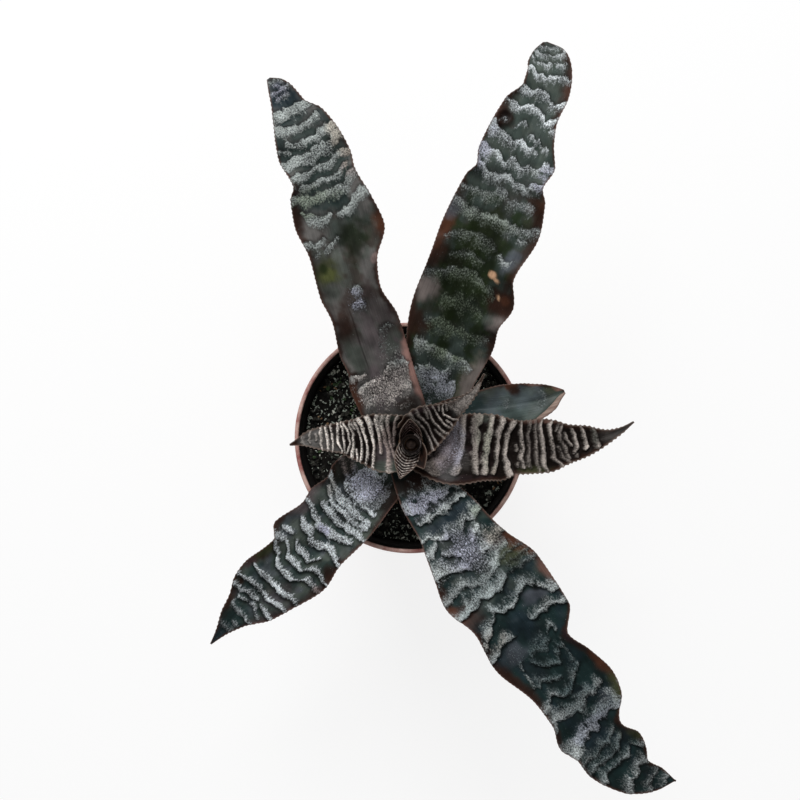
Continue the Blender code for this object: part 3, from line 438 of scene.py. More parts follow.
LEFT_RIBS = [
    (0.5, [(0.65, 47, 0.5), (0.3, 47.4, 0.8), (0, 47, 0.8), (-0.6, 46.8, 0.6)]),
    (0.85, [(0.58, 44, 0.3), (0.35, 44.1, 0.4), (0.15, 44.5, 0.4), (0, 44, 0.4), (-0.5, 43.8, 0.4),
            (-0.7, 43.4, 0.3)]),
    (0.85, [(0.25, 41.2, 0.3), (0, 41, 0.4), (-0.48, 41.3, 0.35)]),
    (0.95, [(0.8, 38.8, 0.4), (0.5, 39.3, 0.6), (0.25, 39, 0.6), (0, 39, 0.6), (-0.5, 39.2, 0.7),
            (-0.8, 39, 0.5)]),
    (0.95, [(0.68, 36.2, 0.5), (0.25, 36.2, 0.6), (0, 36.4, 0.6), (-0.5, 36.6, 0.6),
            (-0.85, 37, 0.5)]),
    (1, [(0.65, 34.1, 0.3), (0.25, 34, 0.35), (0, 34.3, 0.4), (-0.25, 34.3, 0.4), (-0.5, 34.6, 0.4),
         (-0.85, 35, 0.4)]),
    (1, [(0.85, 29.8, 0.35), (0.6, 31, 0.5), (0.5, 31.5, 0.65), (0.25, 32, 0.6), (0, 32, 0.5),
         (-0.25, 32, 0.5), (-0.5, 31.9, 0.6), (-0.8, 32, 0.4)]),
    (1, [(0.88, 28.5, 0.3), (0.5, 29, 0.45), (0.25, 29.3, 0.45), (0, 29.6, 0.4), (-0.25, 29.7, 0.4),
         (-0.5, 29.9, 0.4), (-0.8, 30.6, 0.35)]),
    (1, [(0.92, 28, 0.3), (0.75, 27.2, 0.35), (0.5, 26.8, 0.4), (0.3, 26.5, 0.4), (0, 27.3, 0.4),
         (-0.25, 27.5, 0.4), (-0.5, 28.2, 0.4), (-0.75, 29.4, 0.4), (-0.87, 29.9, 0.35)]),
    (1, [(-0.42, 25, 0.25), (-0.6, 25.8, 0.35), (-0.8, 26.8, 0.35)]),
    (0.9, [(0.95, 25.2, 0.7), (0.75, 25.2, 0.7), (0.5, 24.9, 0.6), (0.25, 25, 0.5), (0, 25.5, 0.45),
           (-0.2, 25.5, 0.4), (-0.35, 26, 0.35), (-0.5, 26.7, 0.3), (-0.72, 27.5, 0.3)]),
    (1, [(0.92, 22.6, 0.4), (0.75, 22.9, 0.5), (0.6, 23.2, 0.45), (0.48, 23.4, 0.3)]),
    (1, [(0.92, 21.4, 0.45), (0.75, 21, 0.5), (0.5, 21, 0.5), (0.25, 21.5, 0.4), (0, 22.1, 0.4),
         (-0.25, 23.2, 0.4), (-0.5, 24.3, 0.45), (-0.75, 25.5, 0.5), (-0.92, 26.3, 0.5)]),
    (1, [(0.97, 18.8, 0.6), (0.75, 18.3, 0.7), (0.5, 18.3, 0.65), (0.25, 19, 0.5), (0, 20, 0.6),
         (-0.25, 21.2, 0.6), (-0.5, 22.3, 0.7), (-0.75, 23.5, 0.9), (-0.95, 24.6, 0.9)]),
    (1, [(0.7, 15.2, 0.4), (0.5, 15.4, 0.5), (0.25, 15.7, 0.5), (0, 17, 0.55), (-0.25, 18.1, 0.65),
         (-0.5, 19, 0.8), (-0.75, 20.2, 1), (-0.95, 21.2, 1)]),
    (0.95, [(0.4, 12.6, 0.45), (0.2, 13, 0.5), (0, 13.8, 0.6), (-0.25, 15, 0.6), (-0.5, 16.4, 0.6),
            (-0.8, 17.8, 0.5)]),
    (0.8, [(0.8, 10.8, 0.4), (0.5, 10.2, 0.4), (0.25, 10, 0.5), (0, 11.4, 0.8), (-0.25, 12.6, 0.8),
           (-0.5, 14.6, 0.8), (-0.7, 16, 0.6)]),
    (0.9, [(0.55, 8.3, 0.3), (0.25, 8.6, 0.4), (0, 9.2, 0.5), (-0.25, 10, 0.6), (-0.5, 12, 0.7),
           (-0.8, 13.8, 0.6)]),
    (0.8, [(0.1, 7.5, 0.3), (-0.25, 8, 0.35), (-0.5, 8.8, 0.4), (-0.78, 10.2, 0.4)]),
]

YOUNG_RIBS = [
    (0.5, [(0.9, 35.2, 2.4), (0, 35.6, 3), (-0.9, 36, 2.4)]),
    (0.55, [(0.95, 29.4, 3), (0, 29.6, 4), (-0.95, 30, 3.4)]),
    (0.45, [(0.95, 25, 1.4), (0, 24.6, 1.6), (-0.95, 25.4, 1.6)]),
    (0.9, [(0.8, 22.6, 0.2), (0.5, 22, 0.25), (0.25, 21.6, 0.2)]),
    (1, [(0.97, 22, 0.25), (0.75, 20.9, 0.35), (0.5, 20.2, 0.35), (0.25, 19.7, 0.38),
         (0.1, 19.4, 0.36), (0, 19.8, 0.36), (-0.25, 20.4, 0.38), (-0.5, 20.9, 0.36),
         (-0.75, 21.8, 0.36), (-0.95, 22.8, 0.3)]),
    (1, [(0.97, 20, 0.25), (0.75, 19.3, 0.3), (0.48, 18.7, 0.25)]),
    (1, [(-0.3, 18.6, 0.3), (-0.5, 19.2, 0.4), (-0.65, 19.6, 0.3)]),
    (0.9, [(0.95, 17.3, 0.25), (0.5, 17, 0.32), (0, 17, 0.26), (-0.3, 17, 0.3), (-0.6, 17.7, 0.32),
           (-0.95, 18.8, 0.3)]),
    (0.9, [(0.75, 14.9, 0.25), (0.25, 14.2, 0.34), (0.05, 13.9, 0.38), (-0.25, 14.5, 0.4),
           (-0.5, 15, 0.38), (-0.75, 15.7, 0.36), (-0.95, 16.6, 0.3)]),
    (0.75, [(0.8, 14, 0.22), (0.5, 13.2, 0.25), (0.28, 12.8, 0.2)]),
    (0.8, [(-0.3, 12.6, 0.25), (-0.6, 13.4, 0.32), (-0.95, 14.6, 0.3)]),
    (0.85, [(0.9, 11.7, 0.25), (0.5, 10.9, 0.3), (0.25, 11, 0.28), (0, 11.1, 0.3),
            (-0.25, 10.6, 0.36), (-0.5, 10.1, 0.4), (-0.8, 10.6, 0.4), (-0.95, 11.2, 0.36)]),
    (0.85, [(0.85, 9.8, 0.3), (0.5, 9, 0.32), (0, 8.5, 0.3), (-0.5, 8, 0.32), (-0.95, 8.4, 0.3)]),
]

SMOOTH_BANDS = [
    (0.3, [(0.5, 62.6, 0.5), (0.2, 63.4, 0.6), (-0.3, 62.8, 0.5), (-0.5, 60.6, 0.4)]),
    (0.3, [(0, 60, 0.5), (-0.5, 60.4, 0.5)]),
    (0.25, [(0.3, 46.8, 0.8), (-0.1, 46, 0.7)]),
]


# --- stains and painted light: soft patches of another colour ----------------------------------
# Most are stains of the tissue; some are painted sheen on its satin cuticle, and some painted
# shade in a crease and over a base that lies in shade. They lie in the ground, which is the bare
# tissue, in the silver bands, or in the loose scurf between the bands. Each is (colour, across,
# along, reach across, reach along, cover).

UPPER_RIGHT_STAINS_AND_PAINTED_SHEEN = {
    "ground": [
        # Painted sheen: the ASHEN patch at across 0.8, along 66 and the STEEL one at across 0.95,
        # along 102 are satin sheen on the left margin.
        (GREEN, 0.1, 80, 1.0, 44, 0.9), (ASHEN, 0.8, 66, 0.36, 6.5, 0.9),
        (BROWN, 0.8, 53, 0.4, 6, 0.9), (BROWN, 0.9, 84, 0.3, 12, 0.8),
        (RUST, 0.97, 94, 0.3, 14, 0.8), (BROWN, -0.95, 52, 0.3, 5, 0.8),
        (BROWN, -0.85, 114, 0.4, 6, 0.9), (RUST, -0.97, 116, 0.2, 6, 0.5),
        (OLIVE, -0.75, 34, 0.5, 14, 0.6), (ASHEN, -0.85, 62, 0.25, 6, 0.8),
        (STEEL, -0.72, 88, 0.25, 7, 0.8), (ASHEN, -0.9, 34, 0.4, 14, 0.8),
        (STEEL, 0.95, 102, 0.3, 6, 0.7), (BLACK, 0.5, 80, 0.3, 4, 0.5),
        (RUST, -0.98, 168, 0.26, 9, 0.7), (BROWN, -0.9, 168, 0.4, 10, 0.5),
        (BROWN, 0.84, 145, 0.5, 7, 1.0), (BLACK, 0.72, 146, 0.26, 5, 0.9),
        (STRAW, -0.47, 81, 0.12, 2, 1.0), (STRAW, -0.6, 79.2, 0.1, 1.3, 1.0),
        (BROWN, -0.75, 72, 0.4, 8, 1.0), (RUST, -0.82, 73, 0.14, 2.4, 0.6),
        (STRAW, -0.66, 73.4, 0.05, 1.4, 0.8), (SAGE, -0.7, 62, 0.2, 4, 0.7),
        (BROWN, 0.55, 186.6, 0.8, 2.2, 0.6),
    ],
    "silver": [
        # Painted sheen: the LILAC patches at both margins round along 127 are sheen on the scales.
        (LILAC, 0.1, 29, 0.9, 12, 0.6), (PALE, 0, 156, 1.6, 50, 0.8), (LICHEN, 0, 62, 1.2, 34, 0.9),
        (LICHEN, 0.2, 98, 0.9, 20, 0.5), (LILAC, 0.95, 128, 0.4, 16, 0.7),
        (LILAC, -0.95, 126, 0.4, 12, 0.7),
    ],
    "scurf": [
        (SCURF, 0.2, 30, 0.9, 10, 0.8),
    ],
}

UPPER_LEFT_STAINS_PAINTED_SHEEN_AND_SHADE = {
    "ground": [
        # Painted shade: the narrow BLACK stain at across 0.33 darkens a crease from along 31 to 69.
        # Painted sheen: the MAUVE patch at along 52 is partly a satin sheen on the blade's middle.
        (NAVY, 0, 160, 1.4, 18, 1.0), (TEAL, 0, 128, 1.2, 30, 0.9),
        (DEEP_TEAL, 0.1, 134, 1.2, 28, 0.4), (BLACK, 0.33, 50, 0.04, 19, 0.7),
        (TEAL, -0.1, 96, 0.7, 12, 0.7), (MAUVE, -0.1, 52, 0.4, 18, 0.8),
        (BROWN, 0.8, 35, 0.16, 4, 0.9), (DEEP_TEAL, 0.2, 109, 0.8, 5, 0.7),
        (OLIVE, 0.6, 80.5, 0.6, 8, 0.9), (MOSS, 0.56, 79, 0.4, 4.5, 0.6),
        (MOSS_SHADE, 0.7, 82, 0.16, 3, 0.8), (GREEN, -0.3, 91, 0.45, 13, 0.8),
        (RUST, -1.0, 95, 0.26, 8, 0.9), (BROWN, 0.98, 106, 0.3, 10, 0.8),
        (PLUM, 0.98, 116, 0.2, 4, 0.8), (SAGE, 0.6, 44, 0.35, 11, 0.8),
        (BROWN, 0.65, 60, 0.4, 11, 0.85), (SAGE, 0.6, 72, 0.35, 6, 0.7),
        (RUST, 1.0, 28, 0.3, 12, 0.8), (BLUSH, -1.03, 30, 0.28, 26, 0.95),
        (BROWN, -0.5, 17, 0.5, 5, 0.8), (PLUM, -0.5, 60, 0.5, 16, 0.5),
        (BROWN, -0.78, 131.6, 0.12, 1.6, 0.9), (ROSE, -0.9, 81.5, 0.14, 2.5, 0.6),
    ],
    "silver": [
        (BONE, 0, 26, 1.4, 18, 1.0), (LICHEN, 0.5, 110, 1.0, 8, 0.6),
        (ROSE, -0.85, 120, 0.4, 9, 0.5), (BEIGE, -0.9, 132, 0.4, 16, 0.7),
        (LILAC, 0, 66, 0.6, 8, 0.8), (LILAC, 0, 163, 1.2, 6, 0.8),
    ],
    "scurf": [
        (SCURF, 0.1, 26, 1.1, 11, 0.9), (SCURF, -0.4, 40, 0.5, 14, 0.5),
        (SCURF, 0.0, 66, 0.4, 10, 0.4),
    ],
}

LOWER_RIGHT_STAINS_AND_PAINTED_SHEEN = {
    "ground": [
        # Painted sheen: the STEEL patches at along 85, 100 and 140 are satin sheen on the dark
        # tissue.
        (NAVY, -0.05, 91, 0.4, 9, 0.8), (STEEL, 0.5, 85, 0.35, 4.5, 0.9),
        (STEEL, -0.5, 100, 0.35, 6, 0.7), (NAVY, 0, 152, 0.8, 6, 0.6),
        (STEEL, 0.6, 140, 0.4, 6, 0.6), (OLIVE, 0.65, 65, 0.36, 7, 0.7),
        (PLUM, 0.6, 58, 0.4, 3, 0.8), (RUST, 1.0, 62, 0.3, 12, 0.8),
        (TERRACOTTA, 1.0, 78, 0.2, 9, 0.6), (PLUM, 1.0, 108, 0.25, 6, 0.9),
        (RUST, 1.0, 124, 0.24, 10, 0.8), (OLIVE, 0.95, 138, 0.24, 10, 0.7),
        (OLIVE, 0.95, 162, 0.26, 6, 0.8), (BROWN, -0.95, 62, 0.22, 6, 0.8),
        (BROWN, -0.85, 74, 0.5, 8, 0.9), (BROWN, -0.98, 114, 0.3, 18, 0.8),
        (BLACK, 0.1, 50, 1.1, 14, 0.35), (NAVY, 0, 37.5, 1.5, 3.6, 1.0),
        (BLACK, 0, 30.4, 1.5, 1.6, 0.6), (BROWN, 0, 17, 1.5, 6, 0.8),
        (RUST, -0.98, 70, 0.2, 8, 0.7),
    ],
    "silver": [
        (MIST, 0, 110, 1.0, 26, 0.8), (MIST, 0, 130, 0.9, 8, 0.6), (MIST, 0.1, 160, 1.2, 16, 0.6),
        (LILAC, -0.2, 26, 1.2, 7, 0.8), (MIST, 0, 142, 1.4, 8, 0.5), (LILAC, 0.1, 146, 1.2, 7, 0.5),
        (LICHEN, 0.85, 43, 0.3, 6, 0.5), (BEIGE, 0.75, 54, 0.4, 6, 0.7),
        (LICHEN, 0.8, 160, 0.4, 8, 0.5), (LICHEN, 0.65, 66, 0.4, 8, 0.5),
        (MIST, 0, 74, 1.4, 16, 0.3), (BEIGE, -0.7, 90, 0.5, 6, 0.5),
        (LILAC, -0.1, 52, 0.7, 14, 0.8),
    ],
    "scurf": [
        (SCURF, 0.0, 23, 1.2, 6, 0.5), (SCURF, 0.08, 53, 0.5, 20, 0.9),
        (SCURF, 0.6, 52, 0.4, 8, 0.5), (SCURF, -0.8, 54, 0.4, 8, 0.5),
        (SCURF, 0.6, 139, 0.5, 6, 0.6), (SCURF, -0.4, 146, 0.6, 6, 0.4),
        (SCURF, -0.5, 101, 0.3, 6, 0.4), (BARE, 0, 37.4, 1.4, 4, 1.0), (BARE, 0, 30.4, 1.4, 2, 1.0),
        (BARE, 0.28, 47, 0.2, 4, 0.9), (BARE, -0.4, 46, 0.3, 3, 0.8),
        (BARE, -0.35, 61, 0.3, 3, 0.7),
    ],
}

LOWER_LEFT_STAINS_AND_PAINTED_SHADE = {
    "ground": [
        # Painted shade: the BLACK stains round along 28 to 30 darken the base, where it lies in
        # shade.
        (NAVY, 0, 122, 1.4, 12, 0.8), (PLUM, 0.9, 100, 0.3, 16, 0.5),
        (BROWN, 0.8, 26, 0.5, 12, 0.7), (BLACK, -0.7, 30, 0.5, 12, 0.8),
        (BLACK, 0, 28, 1.2, 12, 0.6), (BLACK, 0.85, 28, 0.4, 8, 0.7), (BLACK, 0, 45, 0.9, 5, 0.5),
        (SAGE, 0.85, 44, 0.24, 6, 0.7), (PLUM, 0.4, 88, 0.5, 9, 0.5),
        (DEEP_TEAL, 0, 112, 1.4, 12, 0.7), (SAGE, 0.82, 54.6, 0.24, 3.4, 0.7),
        (BROWN, 0.9, 66, 0.3, 6, 0.8), (SAGE, -0.7, 43, 0.3, 5, 0.6),
        (SAGE, -0.6, 60.5, 0.3, 3.5, 0.8), (MAUVE, -0.95, 50, 0.3, 12, 0.8),
        (OLIVE, -0.92, 78, 0.24, 7, 0.8), (PLUM, -0.9, 88, 0.2, 6, 0.5),
        (BROWN, -0.72, 96.5, 0.16, 2, 0.9), (BROWN, -0.85, 104, 0.3, 6, 0.7),
    ],
    "silver": [
        (LILAC, 0, 27.6, 1.2, 10, 0.8), (LILAC, 0, 53.4, 0.35, 3, 0.9),
        (ROSE, 0.92, 75, 0.2, 3, 0.8), (BEIGE, -0.8, 39, 0.4, 8, 0.5),
        (ASHEN, -0.75, 27, 0.4, 8, 1.0),
    ],
    "scurf": [
        (SCURF, 0, 28, 0.7, 11, 1.0), (SCURF, 0.05, 38, 0.5, 10, 0.5),
    ],
}

SMOOTH_STAINS = {
    "ground": [
        (MIST, 0, 50, 1.2, 18, 0.16), (RUST, 0.92, 50, 0.4, 4, 1.0),
        (BROWN, 0.7, 50.6, 0.34, 3.6, 0.95), (TERRACOTTA, 0.8, 69.6, 0.5, 2.4, 1.0),
        (OLIVE, 0.5, 66.4, 0.6, 3, 0.5), (DEEP_TEAL, 0.2, 30, 1.2, 10, 0.8),
        (SAGE, 0.8, 40, 0.4, 6, 0.6), (TERRACOTTA, 0.98, 59, 0.2, 6, 0.7),
    ],
}

RIGHT_STAINS = {
    "ground": [
        (SLATE, 0, 90, 1.6, 11, 1.0), (SLATE, 0.2, 18, 1.0, 6, 0.7),
        (SAGE, 0.95, 34.4, 0.24, 1.6, 0.6), (TEAL, -0.6, 17.5, 0.36, 5, 0.8),
        (OLIVE, -0.9, 53, 0.24, 8, 0.6), (TERRACOTTA, 0.97, 57, 0.14, 10, 0.6),
        (MAUVE, 0.3, 17, 1.4, 8, 0.8), (SLATE, -0.3, 23, 0.5, 4, 0.8),
    ],
    "silver": [
        (ASHEN, 0.2, 50.6, 0.9, 2.2, 0.6), (ASHEN, 0.2, 65, 0.7, 2.2, 0.4),
        (LICHEN, 0.3, 33, 1.2, 5, 0.4), (ASHEN, -0.6, 61, 0.6, 3, 0.4),
        (ASHEN, 0.8, 29, 0.6, 6, 0.5), (ASHEN, -0.5, 70, 0.6, 3, 0.4),
        (LILAC, 0.2, 18, 1.2, 9, 0.8), (ROSE, 0, 14, 1.2, 7, 0.4), (BEIGE, -0.85, 36, 0.3, 5, 0.8),
        (SAGE, 0.3, 79, 1.2, 3, 0.7),
    ],
    "scurf": [
        (SCURF, 0.2, 18, 1.2, 9, 0.7),
    ],
}

LEFT_STAINS = {
    "ground": [
        (SLATE, 0, 40, 1.8, 10, 1.0), (GREY, 0, 42, 1.8, 8, 0.9), (GREY, 0.95, 36, 0.3, 8, 0.9),
        (MAUVE, 0.4, 12, 0.7, 4, 0.5), (SAGE, 1.0, 11, 0.5, 6, 1.0),
        (SAGE, -0.9, 13.5, 0.3, 5, 0.8),
    ],
    "silver": [
        (ROSE, -0.1, 11, 1.4, 7, 0.8), (GREY, 0, 43, 1.4, 8, 0.6),
    ],
}

YOUNG_STAINS = {
    "ground": [
        (GREY, 0, 31, 1.6, 9, 1.0), (PLUM, 0.9, 14, 0.24, 6, 0.8),
    ],
    "scurf": [
        (SCURF, 0, 31, 1.4, 9, 0.6),
    ],
    "silver": [
        (SLATE, 0, 10, 1.6, 9, 0.4),
    ],
}


# --- leaves, from the lowest up ------------------------------------------------------------------


def margin(half_width, length, knots, root=ROOT_RADIUS):
    """A margin from its half-width at the root to the tip, through (along, half-width, lift)."""
    return [(root, half_width, 0), *knots, (length, TIP_HALF_WIDTH, 0)]


LEAVES = [
    Leaf(
        "leaf_1_upper_right",
        root=-5.0,
        midrib=[
            (13.0, 26.4, 12), (18.3, 51.6, 23), (25.8, 71.1, 31), (32.8, 89.5, 35),
            (41.3, 114.2, 36), (49.2, 133.8, 34), (57.0, 153.9, 29), (59.6, 165.3, 25),
            (58.9, 176.6, 20),
        ],
        left=margin(12, 188, [
            (30, 14.1, 0), (46, 18.5, 0.3), (66, 20.4, -1.6), (79, 20.2, 1.8), (92, 20.6, -1.8),
            (117, 17.3, 0.6), (122, 14.4, 3.4), (130, 16.3, -1.4), (154, 13.8, -0.6),
            (164, 8.6, 3.0), (177, 8.6, -0.8), (183, 6, 0.5),
        ]),
        right=margin(12, 188, [
            (30, 13.9, 0), (51, 19.6, -0.8), (60, 18.9, 2.2), (71, 21.5, -1.6), (82, 16.6, 3.6),
            (102, 20.8, -2), (116, 18.4, 0.8), (122, 15.1, 3.2), (132, 17.2, -1.4),
            (142, 12.8, 1.4), (153, 10.3, 3.2), (165, 11.7, -1.2), (177, 9.9, -0.6), (183, 7.5, 0),
        ]),
        ground=TEAL,
        teeth=0.6,
        bands=UPPER_RIGHT_BANDS,
        stains_and_painted_light=UPPER_RIGHT_STAINS_AND_PAINTED_SHEEN,
        knobs=((0.74, 146.0, 4.2, 1.1),),
        rib=0.5,
        painted_band_shade=0.5,
        feather=2.0,
        drift=1.3,
        mottles=(
            (BROWN, 9, 44, 118, 0.4), (MOSS_SHADE, 7, 40, 112, 0.8), (PLUM, 7, 96, 124, 0.3),
            (SAGE, 8, 114, 184, 0.5),
        ),
        borders=(
            ((20, 5), (60, 3), (75, 7), (98, 7), (112, 4), (118, 1), (133, 1), (140, 4), (150, 5),
             (160, 3), (170, 0.6), (188, 1)),
            ((20, 2), (50, 3), (66, 6), (98, 6), (110, 5), (118, 1), (140, 1), (150, 3), (160, 5),
             (175, 4), (188, 1)),
        ),
    ),
    Leaf(
        "leaf_2_lower_left",
        root=-2.4,
        midrib=[
            (-19.1, -16.7, 11), (-32.1, -31.7, 18), (-45.6, -45.9, 22), (-59.6, -60.4, 22),
            (-75.4, -73.3, 18), (-89.3, -89.6, 11),
        ],
        left=margin(12, 126.5, [
            (25, 15.5, 0), (42, 16.4, -0.8), (59, 15.3, 1.8), (72, 17.6, -1.6), (88, 13.2, 1.8),
            (98, 11.7, -0.8), (105, 8.4, 1.4), (112, 5.3, 0), (119, 2.4, 0),
        ]),
        right=margin(12, 126.5, [
            (25, 15.8, 0), (30, 16.3, -0.6), (35, 14.5, 2.4), (44, 16.7, -1.2), (51, 15.3, 2.4),
            (66, 18.2, -1.6), (71, 13.2, 3.2), (88, 15.2, -1.4), (96, 13.4, 1.6), (105, 7.6, -0.4),
            (112, 5.3, 0), (119, 2.4, 0),
        ]),
        ground=TEAL,
        silver=PALE,
        teeth=0.5,
        bands=LOWER_LEFT_BANDS,
        stains_and_painted_light=LOWER_LEFT_STAINS_AND_PAINTED_SHADE,
        rib=0.75,
        painted_band_shade=0.6,
        spread=((0, 0.2), (30, 0.4), (62, 0.3), (76, 0.1), (130, 0.0)),
        gap=0.7,
        feather=1.2,
        drift=0.5,
        mottles=((SAGE, 8, 20, 90, 0.7), (STEEL, 7, 30, 104, 0.6), (DEEP_TEAL, 6, 34, 126, 0.6)),
        borders=(
            ((20, 3), (50, 2), (62, 4), (72, 5), (84, 3), (126, 2)),
            ((20, 4), (50, 3), (58, 3), (75, 5), (96, 4), (106, 4), (126, 2)),
        ),
    ),
    Leaf(
        "leaf_3_smooth",
        root=0.2,
        midrib=[(21.4, 14.0, 12), (40.1, 16.4, 18), (53.8, 18.7, 21), (67.2, 23.0, 22)],
        left=margin(9, 72.8, [
            (26, 6.6, 0), (32, 7.4, 0), (45, 9.3, 0), (54, 8.6, 0.8), (60, 7.4, -0.5),
            (65, 5.6, 0.5), (68, 4.0, 0),
        ]),
        right=margin(9, 72.8, [
            (26, 8.6, 0), (45, 9.7, -0.6), (54, 9.0, 0.4), (60, 7.7, 2.6), (66, 5.3, 3.2),
            (69.5, 2.6, 1.6),
        ]),
        trough=0.16,
        ground=TEAL,
        fold=((56.5, -1.02), (58, -0.84), (62, -0.68), (66, -0.5), (69, -0.3), (72.8, 0)),
        teeth=0.4,
        feather=1.5,
        mottles=((STEEL, 9, 20, 66, 0.6), (SAGE, 6, 20, 70, 0.5)),
        rows=0.4,
        columns=36,
        bands=SMOOTH_BANDS,
        stains_and_painted_light=SMOOTH_STAINS,
    ),
    Leaf(
        "leaf_4_lower_right",
        root=2.8,
        midrib=[
            (7.2, -22.4, 13), (17.5, -36.4, 20), (30.3, -53.5, 28), (46.8, -75.8, 32),
            (63.3, -98.3, 31), (79.5, -123.3, 26), (90.6, -137.0, 22), (100.5, -145.1, 18),
            (118.1, -150.4, 12),
        ],
        left=margin(12, 195.8, [
            (23, 13.3, 0), (39, 15.6, -0.6), (48, 16.4, 1.8), (56, 18.0, 0.4), (72, 22.9, -2.0),
            (96, 21.4, 0.6), (106, 13.1, 4.0), (117, 16.8, 0.5), (131, 20.2, -2.0),
            (139, 18.8, 0.6), (152, 10.6, 3.6), (164, 14.0, -1.4), (173, 11.0, 1.0),
            (180, 6.6, 1.4), (188, 4.6, 0),
        ]),
        right=margin(12, 195.8, [
            (23, 12.6, 0), (32, 13.4, 0), (53, 18.8, 1.2), (68, 22.8, -1.8), (83, 18.7, 2.6),
            (100, 21.1, -2.0), (123, 15.3, 1.2), (136, 14.2, 2.8), (147, 17.2, -1.4),
            (155, 13.8, 2.6), (162, 14.6, -0.6), (170, 12.6, 0.8), (180, 9.4, -0.6), (189, 5.4, 0),
        ]),
        ground=DEEP_TEAL,
        teeth=0.4,
        bands=LOWER_RIGHT_BANDS,
        stains_and_painted_light=LOWER_RIGHT_STAINS_AND_PAINTED_SHEEN,
        rib=0.7,
        painted_band_shade=0.7,
        feather=2.2,
        drift=1.2,
        spread=((0, -0.1), (40, 0), (60, 0.15), (86, -0.1), (122, -0.1), (140, 0), (200, -0.1)),
        mottles=((NAVY, 9, 56, 190, 0.6), (BLACK, 7, 20, 190, 0.3), (SAGE, 6, 44, 80, 0.4)),
        borders=(
            ((20, 1), (50, 1), (56, 4), (84, 4), (90, 1), (100, 2), (106, 4), (120, 4), (140, 3),
             (160, 3), (195, 1)),
            ((20, 1), (50, 1), (56, 4), (66, 4), (72, 6), (80, 4), (96, 3), (110, 4), (130, 3),
             (195, 1)),
        ),
    ),
    Leaf(
        "leaf_5_upper_left",
        root=5.4,
        midrib=[
            (-8.8, 18.4, 16), (-16.6, 42.3, 27), (-23.2, 61.3, 35), (-28.2, 79.6, 40),
            (-33.9, 102.9, 43), (-42.5, 126.5, 41), (-52.7, 144.5, 36), (-61.7, 157.7, 31),
        ],
        left=margin(12, 171, [
            (21, 14.2, 0), (31, 15.0, -0.6), (37, 13.6, 1.6), (46, 14.6, -0.8), (61, 12.6, 2.0),
            (72, 14.5, -0.8), (86, 14.2, 1.2), (102, 17.5, -1.8), (114, 16.0, 0.8),
            (119, 12.9, 3.4), (133, 14.8, -1.4), (142, 12.7, 1.6), (151, 9.2, -0.4),
            (160, 5.1, 0.9), (166, 2.8, 0),
        ]),
        right=margin(12, 171, [
            (21, 14.2, 0), (40, 14.4, -0.8), (54, 14.6, 0.6), (69, 11.2, 2.6), (80, 12.8, 0.8),
            (95, 19.5, -2.0), (106, 16.9, 1.0), (119, 13.6, 2.6), (126, 14.6, -1.0),
            (134, 13.7, 1.4), (146, 11.8, -0.6), (153, 7.2, 1.6), (160, 6.7, -0.5), (166, 5.0, 0.4),
        ]),
        ground=GREY,
        silver=FROST,
        teeth=0.5,
        bands=UPPER_LEFT_BANDS,
        stains_and_painted_light=UPPER_LEFT_STAINS_PAINTED_SHEEN_AND_SHADE,
        rib=0.45,
        painted_band_shade=0.7,
        drift=0.8,
        feather=1.4,
        spread=((0, 0), (96, 0.1), (106, 0.35), (171, 0.2)),
        mottles=(
            # Painted sheen: the MAUVE blotches tint the blade's middle grey-lilac, partly as its
            # satin sheen.
            (MAUVE, 9, 18, 62, 0.9), (SAGE, 8, 40, 104, 0.7), (BROWN, 7, 50, 112, 0.6),
            (DEEP_TEAL, 7, 98, 156, 0.8),
        ),
        borders=(
            ((20, 3), (50, 2), (70, 2), (92, 3), (104, 4), (118, 4), (125, 1), (171, 1)),
            ((20, 4), (45, 3), (70, 2), (88, 3), (97, 4), (104, 2), (120, 1), (131, 3), (136, 1),
             (171, 1)),
        ),
    ),
    Leaf(
        "leaf_6_right",
        root=8.0,
        midrib=[
            (19.7, -3.5, 20), (37.5, -1.4, 29), (55.4, -0.7, 35), (67.8, 1.1, 38), (80.9, 3.2, 39),
            (88.1, 5.8, 40), (94.0, 10.0, 42),
        ],
        left=margin(12, 96.4, [
            (20, 15.0, 0), (27, 16.0, -0.6), (36, 14.6, 0.6), (48, 11.2, 1.6), (57, 11.7, -0.8),
            (63, 10.3, 0.6), (69, 7.4, 1.0), (76, 6.0, -0.3), (81, 3.9, 0.4), (86, 2.1, 0),
            (92, 1.0, 0),
        ]),
        right=margin(12, 96.4, [
            (20, 14.2, 0), (29, 13.4, 0.6), (38, 14.1, -0.8), (46, 11.3, 1.6), (58, 11.1, -0.8),
            (66, 8.6, 0.8), (72, 7.4, 0), (79, 5.0, 0), (84, 2.9, 0), (89, 1.4, 0),
        ]),
        trough=0.05,
        start=YOUNG_ROOT_RADIUS,
        rows=0.4,
        columns=40,
        ground=BLACK,
        silver=CREAM,
        bands=RIGHT_RIBS,
        stains_and_painted_light=RIGHT_STAINS,
        rib=0.95,
        spread=((0, 0.1), (20, 0.1), (28, -0.15), (46, -0.1), (60, -0.12), (96, -0.1)),
        gap=0.9,
        feather=1.8,
        full=0.84,
        drift=0.3,
        mottles=((PLUM, 5, 12, 36, 0.35),),
    ),
    Leaf(
        "leaf_7_left",
        root=10.6,
        midrib=[
            (-9.2, 0.1, 18), (-19.2, 1.9, 27), (-30.7, 3.0, 32), (-42.7, 2.6, 33),
            (-52.5, -0.1, 30),
        ],
        left=margin(12.6, 53.2, [
            (9.3, 13.1, 0), (17, 11.6, 0), (23, 9.3, 0.4), (27, 8.0, -0.3), (30, 6.5, 0.4),
            (34, 5.8, 0), (40, 4.5, 0), (45, 3.0, 0), (49, 1.6, 0),
        ]),
        right=margin(12.6, 53.2, [
